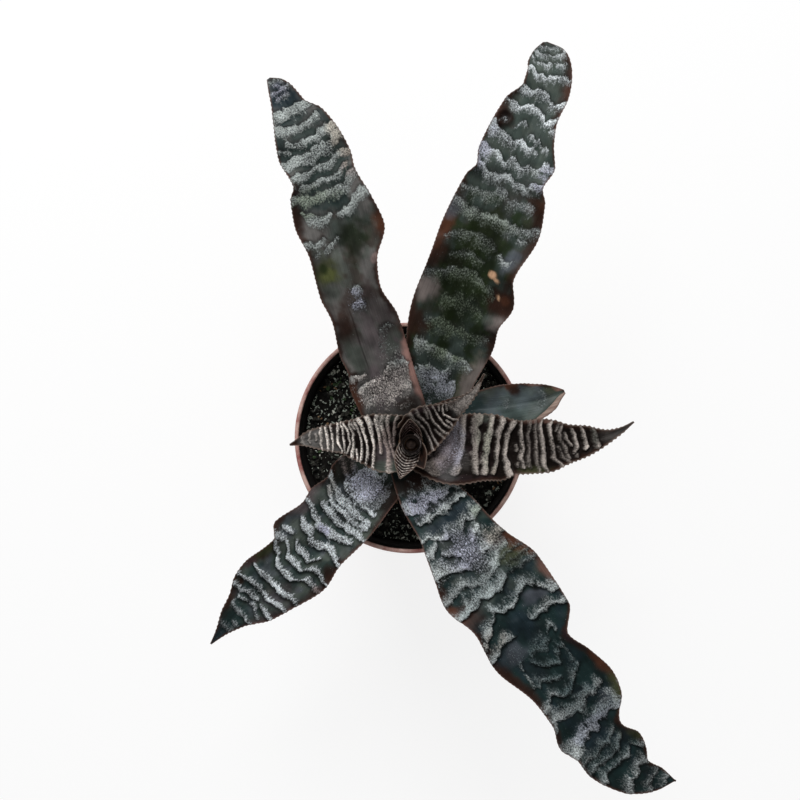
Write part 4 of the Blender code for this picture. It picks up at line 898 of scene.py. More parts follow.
            (9.3, 13.2, 0), (17, 11.7, 0), (23, 9.7, -0.3), (27, 7.6, 0.5), (34, 5.9, 0),
            (40, 4.5, 0), (45, 3.1, 0), (49, 1.6, 0),
        ]),
        trough=0.05,
        start=YOUNG_ROOT_RADIUS,
        rows=0.3,
        columns=44,
        ground=BLACK,
        silver=PEARL,
        bands=LEFT_RIBS,
        stains_and_painted_light=LEFT_STAINS,
        rib=0.7,
        spread=((0, 0), (14, 0.05), (24, -0.08), (34, -0.08), (53, -0.05)),
        gap=0.6,
        feather=1.3,
        full=0.6,
        drift=0.15,
        mottles=((PLUM, 4, 4, 34, 0.2),),
    ),
    Leaf(
        "leaf_8_young",
        root=13.2,
        midrib=[
            (6.6, 7.1, 21), (14.1, 12.0, 31), (21.5, 17.6, 40), (26.6, 23.1, 46), (30.2, 30.0, 51),
        ],
        left=margin(10.8, 43.3, [
            (9.8, 10.1, 0), (17, 7.1, 0.3), (21, 5.2, -0.2), (25.4, 3.4, 0.3), (30, 2.3, 0),
            (34.4, 1.3, 0), (39, 0.7, 0),
        ]),
        right=margin(10.8, 43.3, [
            (9.8, 10.1, 0), (17, 7.4, -0.2), (21, 5.4, 0.3), (25.4, 3.4, 0), (30, 2.3, 0),
            (34.4, 1.4, 0), (39, 0.7, 0),
        ]),
        trough=0.1,
        start=YOUNG_ROOT_RADIUS,
        rows=0.3,
        columns=40,
        ground=BLACK,
        silver=ASH,
        bands=YOUNG_RIBS,
        stains_and_painted_light=YOUNG_STAINS,
        rib=0.5,
        spread=((0, -0.02), (24, 0), (30, 0.1), (43, 0.1)),
        gap=0.5,
        feather=1.3,
        full=0.6,
        drift=0.2,
    ),
]


def scale_leaf(name, azimuth, length, half_width, silver, pitch=1.15, bow=0.6):
    """A small leaf round the heart's roll, pointing along azimuth. Its ribs bow towards its tip."""
    ahead = Vector((math.cos(math.radians(azimuth)), math.sin(math.radians(azimuth)))) * length
    edge = margin(
        half_width, length, [(SCALE_BEND * length, half_width * 0.85, 0)], SCALE_ROOT_RADIUS
    )
    low, high = -0.6 * bow, 0.4 * bow
    bands = [
        (1, [(0.9, rib + low, 0.06), (0.45, rib, 0.12), (0, rib + high, 0.14), (-0.45, rib, 0.12),
             (-0.9, rib + low, 0.06)])
        for rib in np.arange(SCALE_ROOT_RADIUS + 0.4, length, pitch if silver else 99)
    ]
    return Leaf(
        name,
        root=SCALE_ROOT,
        midrib=[(*ahead * SCALE_BEND, HEART_FOOT + 7.8), (*ahead, HEART_FOOT + 12.3)],
        left=edge,
        right=edge,
        bands=bands,
        stains_and_painted_light={},
        start=SCALE_ROOT_RADIUS,
        rows=0.2,
        columns=30,
        ground=BLACK,
        silver=silver or CREAM,
        teeth=0.3,
        rib=0.2,
        mottles=((BROWN, 3, 0, 16, 0.6),),
    )


HEART_SCALES = [
    scale_leaf("scale_lower", -108.0, 15.5, 6.0, ASH, pitch=1.2, bow=1.4),
    scale_leaf("scale_lower_right", -62.0, 12.0, 5.6, None),
    scale_leaf("scale_upper", 93.0, 10.8, 5.8, ROSE, pitch=1.3, bow=3.4),
]


# --- shapes by formula -------------------------------------------------------------------------


def through(points, x):
    """Values at x of a smooth curve through (x, value) points, level at its highs and lows."""
    xs, ys = (np.array(values, float) for values in zip(*points))
    gaps = np.diff(xs)
    rises = np.diff(ys) / gaps
    before, after = rises[:-1], rises[1:]
    level = before * after <= 0
    inner = 2 * before * after / np.where(level, 1, before + after)
    slopes = np.concatenate((rises[:1], np.where(level, 0, inner), rises[-1:]))
    x = np.clip(x, xs[0], xs[-1])
    i = np.clip(np.searchsorted(xs, x, side="right") - 1, 0, len(gaps) - 1)
    t = (x - xs[i]) / gaps[i]
    return (
        ys[i] * (1 + 2 * t) * (1 - t) ** 2
        + ys[i + 1] * t * t * (3 - 2 * t)
        + gaps[i] * (slopes[i] * t * (1 - t) ** 2 - slopes[i + 1] * t * t * (1 - t))
    )


def ease(x, low, high):
    """0 below low, 1 above high, and a smooth step between."""
    t = np.clip((x - low) / (high - low), 0, 1)
    return t * t * (3 - 2 * t)


def nest_height(radius):
    """Rise over its root of the bowl that all leaf bases share, so that they nest evenly apart."""
    out = radius - ROOT_RADIUS
    return NEST_SLOPE * out + NEST_RISE * (1 - np.exp(-out / NEST_REACH))


def midrib_tracks(leaf):
    """The midrib's x, y and height, each as (along, value) points."""
    knots = [(0.0, 0.0, leaf.root), *leaf.midrib]
    along = [0.0]
    for a, b in zip(knots, knots[1:]):
        along.append(along[-1] + math.hypot(b[0] - a[0], b[1] - a[1]))
    return [[(s, knot[i]) for s, knot in zip(along, knots)] for i in range(3)]


def tooth_height(along):
    """Spines of the margin: each one rises slowly towards the tip and drops off sharply."""
    phase = (along % TOOTH_PITCH) / TOOTH_PITCH
    return TOOTH * np.where(phase < 0.7, (phase / 0.7) ** 1.5, (1 - phase) / 0.3)


def by_side(left, right, along, across):
    """Values of two curves over along: the left margin's or the right one's."""
    return np.where(across >= 0, through(left, along), through(right, along))


def half_widths(leaf, along, across):
    left, right = ([(s, w) for s, w, _ in side] for side in (leaf.left, leaf.right))
    return by_side(left, right, along, across)


def blade_surface(leaf, tracks, along, across, spine, relief):
    """Points of the blade's upper face."""
    x, y, high = (through(track, along) for track in tracks)
    run_x, run_y = (through(t, along + 0.5) - through(t, along - 0.5) for t in tracks[:2])
    length = np.hypot(run_x, run_y)
    run_x, run_y = run_x / length, run_y / length
    half = half_widths(leaf, along, across) + spine
    # The base bends round the stem, the more the nearer it is.
    clasp = along * (1 + (along / CLASP_RADIUS) ** 2.5)
    turn = across * half / clasp
    back, aside = clasp * (np.cos(turn) - 1), clasp * np.sin(turn)
    plan_x = x + run_x * back - run_y * aside
    plan_y = y + run_y * back + run_x * aside
    # It nests in the bowl of its neighbours, and further out it follows its own midrib.
    nested = leaf.root + nest_height(np.hypot(plan_x, plan_y))
    free = high + leaf.trough * half * np.abs(across) ** 1.6
    height = nested + (free - nested) * ease(along, NEST_END, FREE_START)
    left, right = ([(s, lift) for s, _, lift in side] for side in (leaf.left, leaf.right))
    lift = by_side(left, right, along, across)
    height = height + lift * np.abs(across) ** 2.2 + relief
    return np.stack((plan_x + STEM_X, plan_y + STEM_Y, height + POT_HEIGHT), axis=1)


def patchwork(sideways, along, size, seed, octaves=3):
    """Smooth noise, about -1 to 1, in patches of the given size in millimetres."""
    return np.array([
        noise.fractal(Vector((v / size, s / size, seed)), 0.9, 2.0, octaves)
        for v, s in zip(sideways, along)
    ])


def band_field(leaf, along, across, half, wobble, sway):
    """For each point: how far it is inside its band, how far beyond its middle, and its cover."""
    inside = np.full(along.shape, FAR_OUTSIDE)
    second = np.full(along.shape, FAR_OUTSIDE)
    beyond = np.zeros(along.shape)
    cover_sum, weight_sum = np.zeros(along.shape), np.full(along.shape, 1e-6)
    for cover, knots in leaf.bands:
        knots = sorted(knots)
        low, high = knots[0][0], knots[-1][0]
        course = through([(v, s) for v, s, _ in knots], across)
        thickness = through([(v, h) for v, _, h in knots], across)
        past_end = np.maximum(0, np.maximum(across - high, low - across)) * half
        if high > leaf.full:
            past_end = np.where(across > high, 0, past_end)
        if low < -leaf.full:
            past_end = np.where(across < low, 0, past_end)
        off = along - course + leaf.drift * sway
        here = np.minimum((thickness + off) / leaf.feather, thickness - off)
        here = here - past_end * np.maximum(1.2, 0.8 * thickness)
        # A broad band has the more ragged outline.
        here = here + wobble * np.clip(thickness - 0.8, 0, 7) * 1.2
        weight = np.exp(np.clip(here, FAR_OUTSIDE, 3) / 0.5)
        # The felt thins out towards the root.
        thin = min(0.55, 0.42 * (leaf.feather - 1)) * ease(-off, -0.6, 1.0 + 0.9 * thickness)
        cover_sum += weight * cover * (1 - thin)
        weight_sum += weight
        beyond = np.where(here > inside, off, beyond)
        second = np.maximum(second, np.minimum(inside, here))
        inside = np.maximum(inside, here)
    apart = (inside - second - leaf.gap) / 2
    inside = inside + through(leaf.spread, along)
    if leaf.gap:
        inside = np.minimum(inside, apart)
    return inside, beyond, cover_sum / weight_sum


def laid_over(colours, tint, share):
    """Colours with a tint laid over each by its share."""
    share = share[:, None]
    return colours * (1 - share) + np.array(linear(tint)) * share


def mottled(leaf, colours, along, across, half):
    """Colours with the leaf's irregular blotches of other tones laid over them."""
    for i, (tint, size, start, stop, cover) in enumerate(leaf.mottles):
        patches = patchwork(across * half, along * 0.7, size, leaf.root + 20 + 5 * i)
        share = cover * ease(patches, -0.1, 0.35) * ease(along, start - 4, start + 4)
        colours = laid_over(colours, tint, share * (1 - ease(along, stop - 4, stop + 4)))
    return colours


def bordered(leaf, colours, along, across, half):
    """Colours with the leaf's border laid over them, along a wandering line."""
    depth = by_side(*leaf.borders, along, across)
    wander = patchwork(across * half, along, 4.0, leaf.root + 3)
    edge = (1 - np.abs(across)) * half
    return laid_over(colours, leaf.border, 0.9 * (1 - ease(edge / depth + 0.45 * wander, 0.1, 1.0)))


def with_stains_and_painted_light(leaf, layer, colours, along, across, half):
    """Colours of a layer, with the leaf's stains, painted sheen and painted shade of that layer
    laid over them.
    """
    warp = patchwork(across * half, along, 5.0, leaf.root + 6)
    for tint, v, s, reach_v, reach_s, cover in leaf.stains_and_painted_light.get(layer, ()):
        away = np.hypot((across - v) / reach_v, (along - s) / reach_s) + 0.3 * warp
        colours = laid_over(colours, tint, cover * (1 - ease(away, 0.35, 1.0)))
    return colours


# --- building blocks ---------------------------------------------------------------------------


def feed(node, inputs):
    """Maps a socket's name or number to the value it takes, or to the output that feeds it."""
    for name, value in inputs.items():
        if isinstance(value, bpy.types.NodeSocket):
            node.id_data.links.new(value, node.inputs[name])
        else:
            node.inputs[name].default_value = value


def add_node(tree, kind, inputs=(), stops=(), **settings):
    """Adds a node. inputs is what feed takes, and stops are a ramp's (position, hex colour)."""
    node = tree.nodes.new("ShaderNode" + kind)
    for name, value in settings.items():
        setattr(node, name, value)
    feed(node, dict(inputs))
    if stops:
        ramp = node.color_ramp.elements
        while len(ramp) < len(stops):
            ramp.new(1.0)
        for element, (position, colour) in zip(ramp, stops):
            element.position, element.color = position, linear(colour)
    return node.outputs


def new_material(name):
    """A node material, its shader, and the function that adds nodes to it."""
    made = bpy.data.materials.new(name)
    made.use_nodes = True
    return made, made.node_tree.nodes["Principled BSDF"], partial(add_node, made.node_tree)


def finish(bm, name, skin, smooth_angle=None):
    """Turns a bmesh in millimetres into an object in metres."""
    bmesh.ops.recalc_face_normals(bm, faces=bm.faces)
    bmesh.ops.scale(bm, vec=(MM, MM, MM), verts=bm.verts)
    mesh = bpy.data.meshes.new(name)
    bm.to_mesh(mesh)
    bm.free()
    if smooth_angle:
        mesh.shade_smooth()
        mesh.set_sharp_from_angle(angle=math.radians(smooth_angle))
    obj = bpy.data.objects.new(name, mesh)
    bpy.context.scene.collection.objects.link(obj)
    if skin:
        mesh.materials.append(skin)
    return obj


def turned(profile, steps, centre=(0.0, 0.0)):
    """A solid of revolution. profile runs from axis to axis, as (radius, height)."""
    bm = bmesh.new()
    verts = [bm.verts.new((radius + centre[0], centre[1], height)) for radius, height in profile]
    edges = [bm.edges.new(pair) for pair in zip(verts, verts[1:])]
    bmesh.ops.spin(
        bm, geom=verts + edges, cent=(*centre, 0), axis=(0, 0, 1), dvec=(0, 0, 0),
        angle=2 * math.pi, steps=steps, use_merge=True, use_duplicate=False,
    )
    bmesh.ops.remove_doubles(bm, verts=bm.verts, dist=1e-4)
    return bm


def cut_away(obj, cutters):
    """Cuts the cutters from obj, and removes them."""
    group = bpy.data.collections.new(obj.name + "_tools")
    bpy.context.scene.collection.children.link(group)
    for cutter in cutters:
        group.objects.link(cutter)
        bpy.context.scene.collection.objects.unlink(cutter)
    modifier = obj.modifiers.new("cut", "BOOLEAN")
    modifier.operation = "DIFFERENCE"
    modifier.operand_type = "COLLECTION"
    modifier.collection = group
    modifier.solver = "EXACT"
    graph = bpy.context.evaluated_depsgraph_get()
    result = bpy.data.meshes.new_from_object(obj.evaluated_get(graph))
    obj.modifiers.clear()
    obj.data = result
    for cutter in cutters:
        bpy.data.objects.remove(cutter)
    bpy.data.collections.remove(group)
    return obj


def numbered_grid(columns, rows):
    """A grid to be laid out, the layer of its vertices' numbers, and their places from 0 to 1."""
    bm = bmesh.new()
    bmesh.ops.create_grid(bm, x_segments=columns, y_segments=rows, size=0.5)
    number = bm.verts.layers.int.new("number")
    for i, vert in enumerate(bm.verts):
        vert[number] = i
    flat = np.array([vert.co[:2] for vert in bm.verts]) + 0.5
    return bm, number, flat[:, 0], flat[:, 1]


def thickened(bm, number, places, offsets, name, skin, smooth_angle):
    """Extrudes a laid-out grid by its vertices' offsets.

    Returns the object, each vertex's number in the grid, and whether it is on the new face.
    """
    for item in bmesh.ops.extrude_face_region(bm, geom=bm.faces)["geom"]:
        if isinstance(item, bmesh.types.BMVert):
            i = item[number]
            item.co = places[i] + offsets[i]
            item[number] = i + len(places)
    obj = finish(bm, name, skin, smooth_angle)
    numbers = obj.data.attributes["number"]
    source = np.empty(len(obj.data.vertices), dtype=np.int32)
    numbers.data.foreach_get("value", source)
    obj.data.attributes.remove(numbers)
    return obj, source % len(places), source >= len(places)


def store(mesh, fields):
    """Writes the per-vertex attributes that the leaf finishes read: colours, vectors or numbers."""
    for name, values in fields.items():
        width = values.shape[1] if values.ndim > 1 else 1
        kind, entry = {
            1: ("FLOAT", "value"), 3: ("FLOAT_VECTOR", "vector"), 4: ("FLOAT_COLOR", "color")
        }[width]
        mesh.attributes.new(name, kind, "POINT").data.foreach_set(entry, values.ravel())


# --- finishes ----------------------------------------------------------------------------------


def leaf_finish(
    name, *, jag, zigzag, soft, haze, closed, sparkle, veining, gloss, underside, margin,
    roughness, felt_roughness,
):
    """Living leaf: a satin cuticle over dark green or bronze tissue, under bands of matt scales.

    The blade attribute gives (across, along, lower side) in millimetres, and the band attribute
    (inside, beyond the middle, cover) of the nearest band of scales. Tufts carry a band's outline
    by jag and its waves by zigzag, in millimetres. The outline is soft wide where the cover is
    full, and haze wide where it is thin. closed is the least share of felt in a full cover.
    sparkle and veining are the unevenness of the scales and of the tissue.
    """
    made, shader, add = new_material(name)
    fields = {
        "blade": "Vector", "band": "Vector", "ground": "Color", "silver": "Color", "edge": "Fac",
        "scurf": "Fac",
    }
    blade, band, ground, silver, edge, scurf = (
        add("Attribute", attribute_name=field)[socket] for field, socket in fields.items()
    )
    side = add("SeparateXYZ", {0: blade})["Z"]
    inside, beyond, cover = add("SeparateXYZ", {0: band})

    # Each pattern's scale is 1 mm over the size of its patches, across and along the blade.
    patterns = (
        (0.9, 0.4, 3.0, 0.58),  # tufts at the felt's outline, 1.1 mm wide and 2.5 mm long
        (0.28, 0.1, 1.0, 0.5),  # waves of the outline, 3.6 mm wide and 10 mm long
        (1.7, 1.0, 3.0, 0.7),  # tufts of scales, 0.6 mm across and 1 mm long
        (2.0, 0.07, 2.0, 0.5),  # veins, 0.5 mm apart, that run lengthwise
        (0.12, 0.09, 4.0, 0.5),  # patches of deeper tissue, 8 to 11 mm across
        (1.5, 1.3, 3.0, 0.75),  # bright and dull scales, in grains 0.7 mm across
    )
    noises = []
    for across, along, detail, rough in patterns:
        stretched = add("Mapping", {"Vector": blade, "Scale": (across, along, 1)})[0]
        noises.append(add(
            "TexNoise", {"Vector": stretched, "Scale": 1.0, "Detail": detail, "Roughness": rough}
        )["Fac"])
    teeth, waves, grain, veins, patches, sugar = noises

    # The side towards the root is more ragged than the side towards the tip.
    ragged = add("MapRange", {
        "Value": beyond, "From Min": -0.6, "From Max": 0.6, "To Min": 1.6 * jag, "To Max": jag,
    })[0]
    reach = inside
    for pattern, amount in ((teeth, ragged), (waves, zigzag), (grain, 1.1 * jag)):
        centred = add("Math", {0: pattern, 1: 0.5}, operation="SUBTRACT")[0]
        reach = add("Math", {0: centred, 1: amount, 2: reach}, operation="MULTIPLY_ADD")[0]
    # A thin cover fades out over a wider edge.
    fade = add("MapRange", {
        "Value": cover, "From Min": 0.4, "From Max": 1.0, "To Min": haze, "To Max": soft,
    })[0]
    inner = add("Math", {0: fade, 1: -1.0}, operation="MULTIPLY")[0]
    outline = add(
        "MapRange", {"Value": reach, "From Min": inner, "From Max": fade},
        interpolation_type="SMOOTHSTEP",
    )[0]
    # Where the cover is thin, the tissue shows between the tufts. The full cover is closed felt,
    # with few spots of tissue in it.
    bare = add("MapRange", {
        "Value": cover, "From Min": 0.25, "From Max": 1.0, "To Min": 0.52, "To Max": 0.37,
    })[0]
    low = add("Math", {0: bare, 1: 0.1}, operation="SUBTRACT")[0]
    high = add("Math", {0: bare, 1: 0.1}, operation="ADD")[0]
    shut = add("MapRange", {
        "Value": cover, "From Min": 0.7, "From Max": 1.0, "To Min": closed, "To Max": closed + 0.3,
    })[0]
    speckle = add(
        "MapRange", {"Value": grain, "From Min": low, "From Max": high, "To Min": shut},
        interpolation_type="SMOOTHSTEP",
    )[0]
    dense = add("MapRange", {
        "Value": cover, "From Min": 0.2, "From Max": 0.95, "To Min": 0.3,
    })[0]
    patchy = add("Math", {0: outline, 1: speckle}, operation="MULTIPLY")[0]
    banded_felt = add("Math", {0: patchy, 1: dense}, operation="MULTIPLY")[0]
    # Loose scurf lies between the bands, in the closer patches as clumps that touch.
    lying = add("Math", {0: scurf, 1: 0.24, 2: grain}, operation="MULTIPLY_ADD")[0]
    clumps = add(
        "MapRange", {"Value": lying, "From Min": 0.64, "From Max": 0.82, "To Max": 0.85},
        interpolation_type="SMOOTHSTEP",
    )[0]
    felt = add("Math", {0: banded_felt, 1: clumps}, operation="MAXIMUM")[0]

    depth = add("Math", {0: veins, 1: veining, 2: patches}, operation="MULTIPLY_ADD")[0]
    deep = add("MapRange", {
        "Value": depth, "From Min": 0.3 + 0.4 * veining, "From Max": 0.7 + 0.6 * veining,
        "To Min": 0.55, "To Max": 1.45,
    })[0]
    tissue = add("VectorMath", {0: ground, "Scale": deep}, operation="SCALE")[0]
    broad = add(
        "Math", {0: patches, 1: 0.5, 2: 0.5 - 0.5 * sparkle}, operation="MULTIPLY_ADD"
    )[0]
    uneven = add("Math", {0: sugar, 1: sparkle, 2: broad}, operation="MULTIPLY_ADD")[0]
    bright = add("MapRange", {
        "Value": uneven, "From Min": 0.62, "From Max": 0.92, "To Min": 0.05, "To Max": 2.5,
    })[0]
    scales = add("VectorMath", {0: silver, "Scale": bright}, operation="SCALE")[0]

    # The lower face is covered all over with pale scales, thinner along the veins.
    back = add("ValToRGB", {0: veins}, stops=((0.3, underside[0]), (0.7, underside[1])))[0]
    below = add("MapRange", {"Value": side, "From Min": 0.45, "From Max": 0.6})[0]
    # The margin's outer half millimetre and its spines are horny and bare.
    horn = add("MapRange", {
        "Value": edge, "From Min": 0.0, "From Max": 0.6, "To Min": 0.7, "To Max": 0.0,
    })[0]
    colour = tissue
    for share, cast in ((felt, scales), (below, back), (horn, linear(margin))):
        colour = add("Mix", {0: share, MIX_A: colour, MIX_B: cast}, data_type="RGBA")[MIX_OUT]

    dull = add("MapRange", {"Value": felt, "To Min": roughness, "To Max": felt_roughness})[0]
    # Felt of middling brightness stands 0.25 mm proud of the tissue, and the veins 0.09 mm.
    raised = add("Math", {0: felt, 1: bright}, operation="MULTIPLY")[0]
    veined = add("Math", {0: veins, 1: 0.35, 2: raised}, operation="MULTIPLY_ADD")[0]
    bump = add("Bump", {"Height": veined, "Strength": 1.0, "Distance": 0.25 * MM})[0]
    feed(shader, {
        "Base Color": colour, "Roughness": dull, "Normal": bump, "Specular IOR Level": gloss,
    })
    return made


def clay_plastic():
    """Injection-moulded polypropylene in a clay colour: dull, chalky, limed and lightened by a
    painted highlight at the rim, and darkened inside by painted shade.
    """
    made, shader, add = new_material("clay_plastic")
    spot = add("TexCoord")["Object"]
    up = add("SeparateXYZ", {0: spot})["Z"]
    # Scuffs 3 mm across.
    scuffs = add("TexNoise", {
        "Vector": spot, "Scale": 330.0, "Detail": 4.0, "Roughness": 0.65,
    })["Fac"]
    body = add(
        "ValToRGB", {0: scuffs}, stops=((0.3, "#7C3F3C"), (0.55, "#8A4A46"), (0.75, "#9B5D56"))
    )[0]
    # Lime has dried in blots 8 mm across, and the top 3.5 mm is lightened further, partly by lime
    # and partly as a painted highlight on the rim.
    blots = add("TexNoise", {
        "Vector": spot, "Scale": 120.0, "Detail": 5.0, "Roughness": 0.7,
    })["Fac"]
    rim = add("MapRange", {
        "Value": up, "From Min": (POT_HEIGHT - 3.5) * MM, "From Max": POT_HEIGHT * MM,
        "To Min": 0.0, "To Max": 0.3,
    })[0]
    lime_and_highlight = add("Math", {0: blots, 1: rim}, operation="ADD")[0]
    crust_and_highlight = add("MapRange", {"Value": lime_and_highlight, "From Min": 0.64, "From Max": 0.9, "To Max": 0.75})[0]
    # Painted shade: the wall's inside, which lies within the middle of its thickness, is darkened
    # nearly to black below a ragged line near the rim's top, for the shade between rim and soil.
    axis = add("VectorMath", {0: spot, 1: (1, 1, 0)}, operation="MULTIPLY")[0]
    out = add("VectorMath", {0: axis}, operation="LENGTH")["Value"]
    leaning = add("MapRange", {
        "Value": up, "From Max": COLLAR * MM, "To Min": (FOOT_RADIUS - WALL / 2) * MM,
        "To Max": (wall_radius(COLLAR) - WALL / 2) * MM,
    })[0]
    collared = add("MapRange", {
        "Value": up, "From Min": (COLLAR - 0.6) * MM, "From Max": COLLAR * MM,
        "To Max": (RIM_RADIUS - 1.75 - wall_radius(COLLAR) + WALL / 2) * MM,
    })[0]
    halfway = add("Math", {0: leaning, 1: collared}, operation="ADD")[0]
    within = add("Math", {0: out, 1: halfway}, operation="LESS_THAN")[0]
    above = add("Math", {0: up, 1: FLOOR / 2 * MM}, operation="GREATER_THAN")[0]
    indoors = add("Math", {0: within, 1: above}, operation="MULTIPLY")[0]
    ragged_shade_line = add("Math", {0: blots, 1: 2.2 * MM, 2: up}, operation="MULTIPLY_ADD")[0]
    low = add("MapRange", {
        "Value": ragged_shade_line, "From Min": (POT_HEIGHT + 0.9) * MM, "From Max": (POT_HEIGHT - 0.1) * MM,
    })[0]
    inner_wall_shade = add("Math", {0: low, 1: indoors}, operation="MULTIPLY")[0]
    # The pale mix is lime and a painted highlight; the near-black one is painted shade on the
    # wall's inside.
    colour = body
    for share, cast in ((crust_and_highlight, "#CFB3A8"), (inner_wall_shade, "#0E0A09")):
        colour = add(
            "Mix", {0: share, MIX_A: colour, MIX_B: linear(cast)}, data_type="RGBA"
        )[MIX_OUT]
    bump = add("Bump", {"Height": scuffs, "Strength": 0.4, "Distance": 0.15 * MM})[0]
    feed(shader, {
        "Base Color": colour, "Roughness": 0.55, "Normal": bump, "Specular IOR Level": 0.4,
    })
    return made


def granular(name, colours, grain_size, roughness):
    """Loose or crumbly matter of one kind, dull, and from dark to light over its grains."""
    made, shader, add = new_material(name)
    spot = add("TexCoord")["Object"]
    grain = add("TexNoise", {
        "Vector": spot, "Scale": 1 / (grain_size * MM), "Detail": 4.0, "Roughness": 0.7,
    })["Fac"]
    # The noise seldom leaves 0.32 to 0.68.
    first, last = 0.32, 0.68
    stops = [(first + (last - first) * i / (len(colours) - 1), c) for i, c in enumerate(colours)]
    colour = add("ValToRGB", {0: grain}, stops=stops)[0]
    bump = add("Bump", {"Height": grain, "Strength": 1.0, "Distance": GRAIN_HEIGHT * MM})[0]
    feed(shader, {
        "Base Color": colour, "Roughness": roughness, "Normal": bump, "Specular IOR Level": 0.15,
    })
    return made


# --- pieces ------------------------------------------------------------------------------------


def wall_radius(height):
    """Radius of the pot's outside below its collar."""
    return FOOT_RADIUS + (RIM_RADIUS - COLLAR_OVERHANG - FOOT_RADIUS) * height / COLLAR


def rounded(start, stop, centre, steps=5):
    """Points of a quarter turn from start to stop round centre."""
    points = []
    for i in range(steps + 1):
        t = math.pi / 2 * i / steps
        points.append(tuple(
            c + (a - c) * math.cos(t) + (b - c) * math.sin(t)
            for a, b, c in zip(start, stop, centre)
        ))
    return points


def build_pot(skin):
    """The pot as it is turned, with drain holes in a channel and notches through its foot."""
    inner_rim = RIM_RADIUS - RIM_WALL
    outer, inner = RIM_RADIUS - LIP, inner_rim + LIP
    low = POT_HEIGHT - LIP
    profile = [
        (0, 0), (CHANNEL_INNER - BEVEL, 0), (CHANNEL_INNER, BEVEL),
        (CHANNEL_INNER + CHANNEL_SLOPE, CHANNEL_DEPTH),
        (CHANNEL_OUTER - CHANNEL_SLOPE, CHANNEL_DEPTH),
        (CHANNEL_OUTER, BEVEL), (CHANNEL_OUTER + BEVEL, 0),
        (FOOT_RADIUS - 0.8, 0), (FOOT_RADIUS - 0.2, 0.3), (FOOT_RADIUS, 1.0),
        (wall_radius(25), 25), (wall_radius(50), 50), (wall_radius(COLLAR - 1.4), COLLAR - 1.4),
        (wall_radius(COLLAR - 1) + 0.2, COLLAR - 0.9), (RIM_RADIUS - 1.3, COLLAR - 0.1),
        (RIM_RADIUS - 0.9, COLLAR + 0.2),
        *rounded((RIM_RADIUS, low), (outer, POT_HEIGHT), (outer, low)),
        *rounded((inner, POT_HEIGHT), (inner_rim, low), (inner, low)),
        (inner_rim - 0.3, COLLAR + 0.6), (wall_radius(COLLAR - 1) - WALL, COLLAR - 1.4),
        (wall_radius(FLOOR) - WALL, FLOOR), (0, FLOOR),
    ]
    pot = finish(turned(profile, 160), "nursery_pot", skin, smooth_angle=32)
    cutters = []
    for i in range(DRAIN_HOLES):
        turn = 2 * math.pi * (i + 0.5) / DRAIN_HOLES
        out = (CHANNEL_INNER + CHANNEL_OUTER) / 2
        bm = bmesh.new()
        bmesh.ops.create_cone(
            bm, cap_ends=True, segments=28, radius1=DRAIN_RADIUS, radius2=DRAIN_RADIUS,
            depth=4 * FLOOR,
        )
        middle = (out * math.cos(turn), out * math.sin(turn), FLOOR)
        bmesh.ops.translate(bm, verts=bm.verts, vec=middle)
        cutters.append(finish(bm, f"drain_{i}", None))
    for i in range(FOOT_NOTCHES):
        turn = 2 * math.pi * (i + 0.5) / FOOT_NOTCHES
        out = (CHANNEL_OUTER + FOOT_RADIUS) / 2
        bm = bmesh.new()
        bmesh.ops.create_cube(bm, size=1.0)
        box = (2 * (FOOT_RADIUS - CHANNEL_OUTER), FOOT_NOTCH_WIDTH, 2 * CHANNEL_DEPTH)
        bmesh.ops.scale(bm, vec=box, verts=bm.verts)
        bmesh.ops.translate(bm, verts=bm.verts, vec=(out, 0, 0))
        spin = Matrix.Rotation(turn, 3, "Z")
        bmesh.ops.rotate(bm, verts=bm.verts, cent=(0, 0, 0), matrix=spin)
        cutters.append(finish(bm, f"notch_{i}", None))
    return cut_away(pot, cutters)


def soil_height(x, y):
    """Height of the soil's surface, with swells 10 to 20 mm long and lumps of 5 mm and 2 mm."""
    waves = ((0.31, 0.12, 0.4), (-0.17, 0.36, 1.9), (0.52, -0.41, 3.1), (0.09, 0.67, 5.0))
    swell = sum(math.sin(a * x + b * y + c) for a, b, c in waves) / len(waves)
    lumps = noise.noise(Vector((x / 5, y / 5, 3.0)))
    crumbs = noise.noise(Vector((x / 1.8, y / 1.8, 7.0)))
    return SOIL_TOP + SOIL_LUMP * (swell + 0.7 * lumps + 0.45 * crumbs)


def build_soil(skin):
    """A full disc of potting mix that clears the pot's wall, lumpy on top."""
    floor = FLOOR + CLEAR
    edge = wall_radius(SOIL_TOP) - WALL - 0.7
    rings = 64
    profile = [(0, floor), (wall_radius(floor) - WALL - CLEAR, floor), (edge, SOIL_TOP - 1.5)]
    profile += [(edge * (1 - i / rings), SOIL_TOP) for i in range(rings + 1)]
    bm = turned(profile, 200)
    for vert in bm.verts:
        if vert.co.z > SOIL_TOP - 0.5:
            vert.co.z = soil_height(vert.co.x, vert.co.y)
    return finish(bm, "potting_soil", skin, smooth_angle=75)


